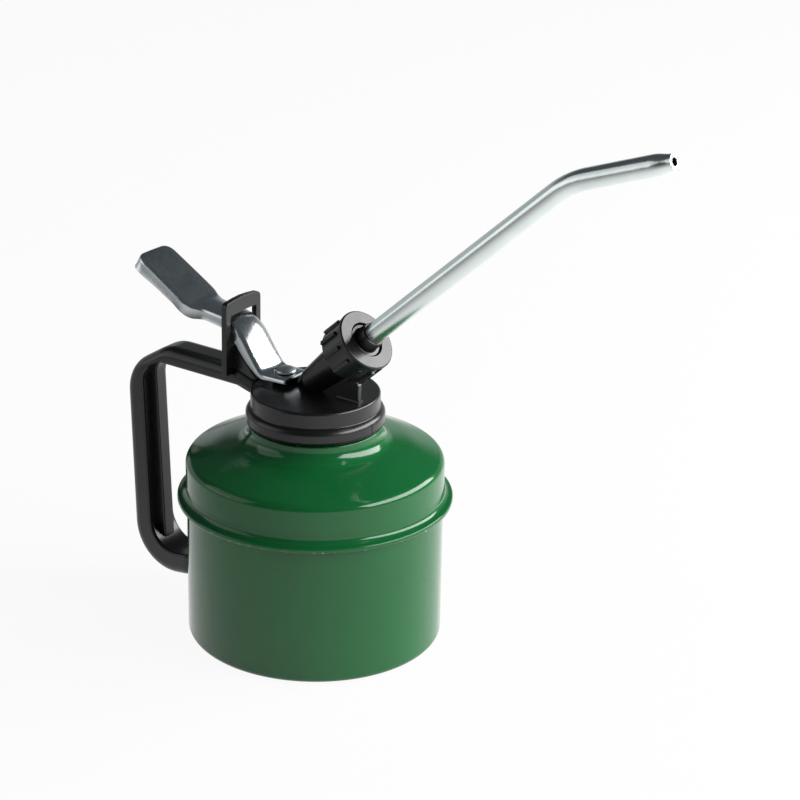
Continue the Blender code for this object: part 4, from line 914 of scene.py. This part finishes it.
# %% Bore at the tip
for vertex in tube.data.vertices:
    offset = vertex.co / MM - centre
    along = offset.dot(ahead)
    beside = offset - ahead * along
    if along > -BORE_DEPTH and beside.length < BORE_REACH:
        vertex.co = (centre + ahead * along + beside.normalized() * BORE_AT_TIP) * MM
soften(tube, 0.12, 2, 60)
on_spout(tube)
print("the tube's tip is at", [round(value, 1) for value in centre], "mm on its own axis")
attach(tube, "spout")
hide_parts("spout_tube")
count(tube)

# %% [markdown]
# ## Green enamel
#
# The can is sprayed with stove enamel and baked, which gives a deep glossy green
# over steel. The eye gets its depth from a dark saturated colour under a sharp
# shine, and its life from a very slight ripple of the sprayed film, a few
# millimetres across. Enamel chips where it is thinnest, along the rolled seam.

# %% Surface noise
def object_place(material, size=(1, 1, 1), turn=0.0):
    """Object coordinates in steps of so many metres each way, turned about Y."""
    place = add(material, "ShaderNodeTexCoord").outputs["Object"]
    settings = {"vector_type": "TEXTURE", "Rotation": (0, turn, 0), "Scale": size}
    return add(material, "ShaderNodeMapping", settings, {"Vector": place}).outputs[0]


def noise(material, size, detail=2.0, stretch=(1, 1, 1), turn=0.0):
    """A noise whose features are about this many mm across, stretched so many times each way."""
    place = object_place(material, [share * size * MM for share in stretch], turn)
    return add(material, "ShaderNodeTexNoise", {"Scale": 1.0, "Detail": detail}, {"Vector": place})


def colour_of(material, value, first, second):
    """A colour that goes from the first hex code to the second as a value goes from 0 to 1."""
    node = add(material, "ShaderNodeMix", {"data_type": "RGBA"}, {0: value})
    node.inputs[6].default_value = linear(first)
    node.inputs[7].default_value = linear(second)
    return node.outputs[2]


def bumps(material, height, depth):
    """A normal from a height that stands for so many mm."""
    settings = {"Strength": 1.0, "Distance": depth * MM}
    return add(material, "ShaderNodeBump", settings, {"Height": height}).outputs[0]


def surface(material, out, settings, colour, roughness, normal):
    """Close a material with one Principled shader."""
    links = {"Base Color": colour, "Roughness": roughness, "Normal": normal}
    shader = add(material, "ShaderNodeBsdfPrincipled", settings, links)
    material.node_tree.links.new(shader.outputs[0], out.inputs["Surface"])


# %% Enamel
CHIPS_FROM, CHIPS_TO = 56.3, 57.0
CHIPS_ABOVE = 0.66

enamel, enamel_out = new_material("stove_enamel_green")
ripple = noise(enamel, 5.0, 1.0).outputs[0]
shade = noise(enamel, 30.0, 2.0).outputs[0]
chips = noise(enamel, 0.9, 3.0).outputs[0]
height_place = add(enamel, "ShaderNodeSeparateXYZ", None, {0: object_place(enamel, (1, 1, MM))})
above = maths(enamel, "GREATER_THAN", height_place.outputs[2], CHIPS_FROM)
below = maths(enamel, "LESS_THAN", height_place.outputs[2], CHIPS_TO)
sparse = maths(enamel, "GREATER_THAN", chips, CHIPS_ABOVE)
chip = maths(enamel, "MULTIPLY", maths(enamel, "MULTIPLY", above, below), sparse)
green = colour_of(enamel, shade, "#10552a", "#13602f")
painted = add(enamel, "ShaderNodeMix", {"data_type": "RGBA"}, {0: chip, 6: green})
painted.inputs[7].default_value = linear("#d8dcd6")
surface(
    enamel, enamel_out, {"IOR": 1.45}, painted.outputs[2],
    between(enamel, shade, 0.10, 0.15), bumps(enamel, ripple, 0.008),
)

# %% [markdown]
# ## Black nylon
#
# Head, hoop, handle and nut are moulded from black nylon. The mould is polished
# but not to a mirror, so the shine is broad, and handling leaves it a little
# uneven. Its grain is finer than a pixel, so it is drawn at 0.6 mm to show at all.

# %% Nylon
nylon, nylon_out = new_material("moulded_black_nylon")
grain = noise(nylon, 0.6, 2.0).outputs[0]
wear = noise(nylon, 9.0, 3.0).outputs[0]
surface(
    nylon, nylon_out, {"IOR": 1.50}, colour_of(nylon, wear, "#0e0e0e", "#151514"),
    between(nylon, wear, 0.24, 0.34), bumps(nylon, grain, 0.006),
)

# %% [markdown]
# ## Metals
#
# The lever is zinc plated and bright: nearly a mirror, with the soft lengthwise
# marks of the rolled strip and the blue-grey clouds of the plating bath. The spout
# is plated too, but drawn, so its shine is broken by fine lines along the tube. The
# hidden tubes, rods and springs are plain drawn steel, and the valves are turned
# from brass, whose fine rings come from the lathe tool. The gland nut on the deck
# is brass painted nearly black, as painted shade for the shadow under the tongue,
# and the screw's plating is dull from handling. All the others keep a metal's own
# reflectance.

# %% Metal maker
CLOUD_SIZE = 12.0
PLAIN = (1.0, 1.0, 1.0)


def metal(name, dark, light, rough, mark_size, stretch, depth=0.006, turn=0.0):
    """A metal whose colour comes from soft clouds, and its shine from stretched marks."""
    material, out = new_material(name)
    marks = noise(material, mark_size, 3.0, stretch, turn).outputs[0]
    cloud = noise(material, CLOUD_SIZE, 2.0).outputs[0]
    surface(
        material, out, {"Metallic": 1.0}, colour_of(material, cloud, dark, light),
        between(material, marks, *rough), bumps(material, marks, depth),
    )
    return material


# %% Metals
TUBE_TURN = math.pi / 2 - SPOUT_RISE
bright_plate = metal("bright_zinc_plate", "#a3adb4", "#e8eaea", (0.14, 0.30), 0.9, (2.0, 1.0, 2.0))
tube_plate = metal(
    "drawn_zinc_tube", "#c9d2d1", "#dfe5e3", (0.14, 0.30), 0.9, (1.0, 1.0, 90.0), 0.020, TUBE_TURN
)
dull_plate = metal("dull_zinc_plate", "#aab2b1", "#c2c9c7", (0.36, 0.50), 0.8, PLAIN)
plain_steel = metal("drawn_steel", "#9a9c9e", "#b4b6b8", (0.25, 0.40), 0.8, (1.0, 1.0, 10.0))
brass = metal("turned_brass", "#b8903f", "#cfa757", (0.18, 0.30), 0.5, (3.0, 3.0, 1.0))
# Painted shade: the gland nut's brass is made nearly black for the shadow under the tongue.
brass_painted_shade = metal("brass_in_painted_shade", "#15120d", "#231d13", (0.30, 0.45), 0.8, PLAIN)
METALS = (bright_plate, tube_plate, dull_plate, plain_steel, brass, brass_painted_shade)
print("metals:", [finish.name for finish in METALS])

# %% [markdown]
# ## Rubber
#
# The gasket, packing, cup and washer are oil-proof rubber: matt, almost black, with
# a dusty greyness in its grain.

# %% Rubber
rubber, rubber_out = new_material("oil_proof_rubber")
dust = noise(rubber, 1.5, 3.0).outputs[0]
surface(
    rubber, rubber_out, {"IOR": 1.52}, colour_of(rubber, dust, "#181818", "#262625"),
    between(rubber, dust, 0.65, 0.85), bumps(rubber, dust, 0.02),
)

# %% [markdown]
# ## Finishes on the pieces
#
# Each new piece gets its finish by name, and each CAD piece that is carried over
# gets the finish of the slot that its record names. Only the gland nut differs, for
# its brass is painted nearly black as shade under the tongue.

# %% Assign
FINISHES = {
    "green_enamel": enamel, "black_nylon": nylon, "bright_plate": bright_plate,
    "plain_steel": plain_steel, "turned_brass": brass, "black_rubber": rubber,
}
# The gland nut takes brass painted nearly black as shade.
PAINTED_SHADE_FINISH = {"gland_nut": brass_painted_shade}
NEW_PIECES = {
    can_body: enamel, can_dome: enamel, pump_head: nylon, hoop: nylon, handle: nylon, nut: nylon,
    ferrule: nylon, pump_lever: bright_plate, screw: dull_plate, tube: tube_plate,
}
for piece, finish in NEW_PIECES.items():
    piece.data.materials.clear()
    piece.data.materials.append(finish)
for row in frame["record"]["subparts"]:
    solid = nodes[row["node"]]
    solid.data.materials.clear()
    solid.data.materials.append(PAINTED_SHADE_FINISH.get(row["node"]) or FINISHES[row["material_slot"]])
print("finishes on the new pieces:", sorted({finish.name for finish in NEW_PIECES.values()}))

# %% [markdown]
# ## Close
#
# At the end nothing is left selected.

# %% Leave nothing selected
deselect()
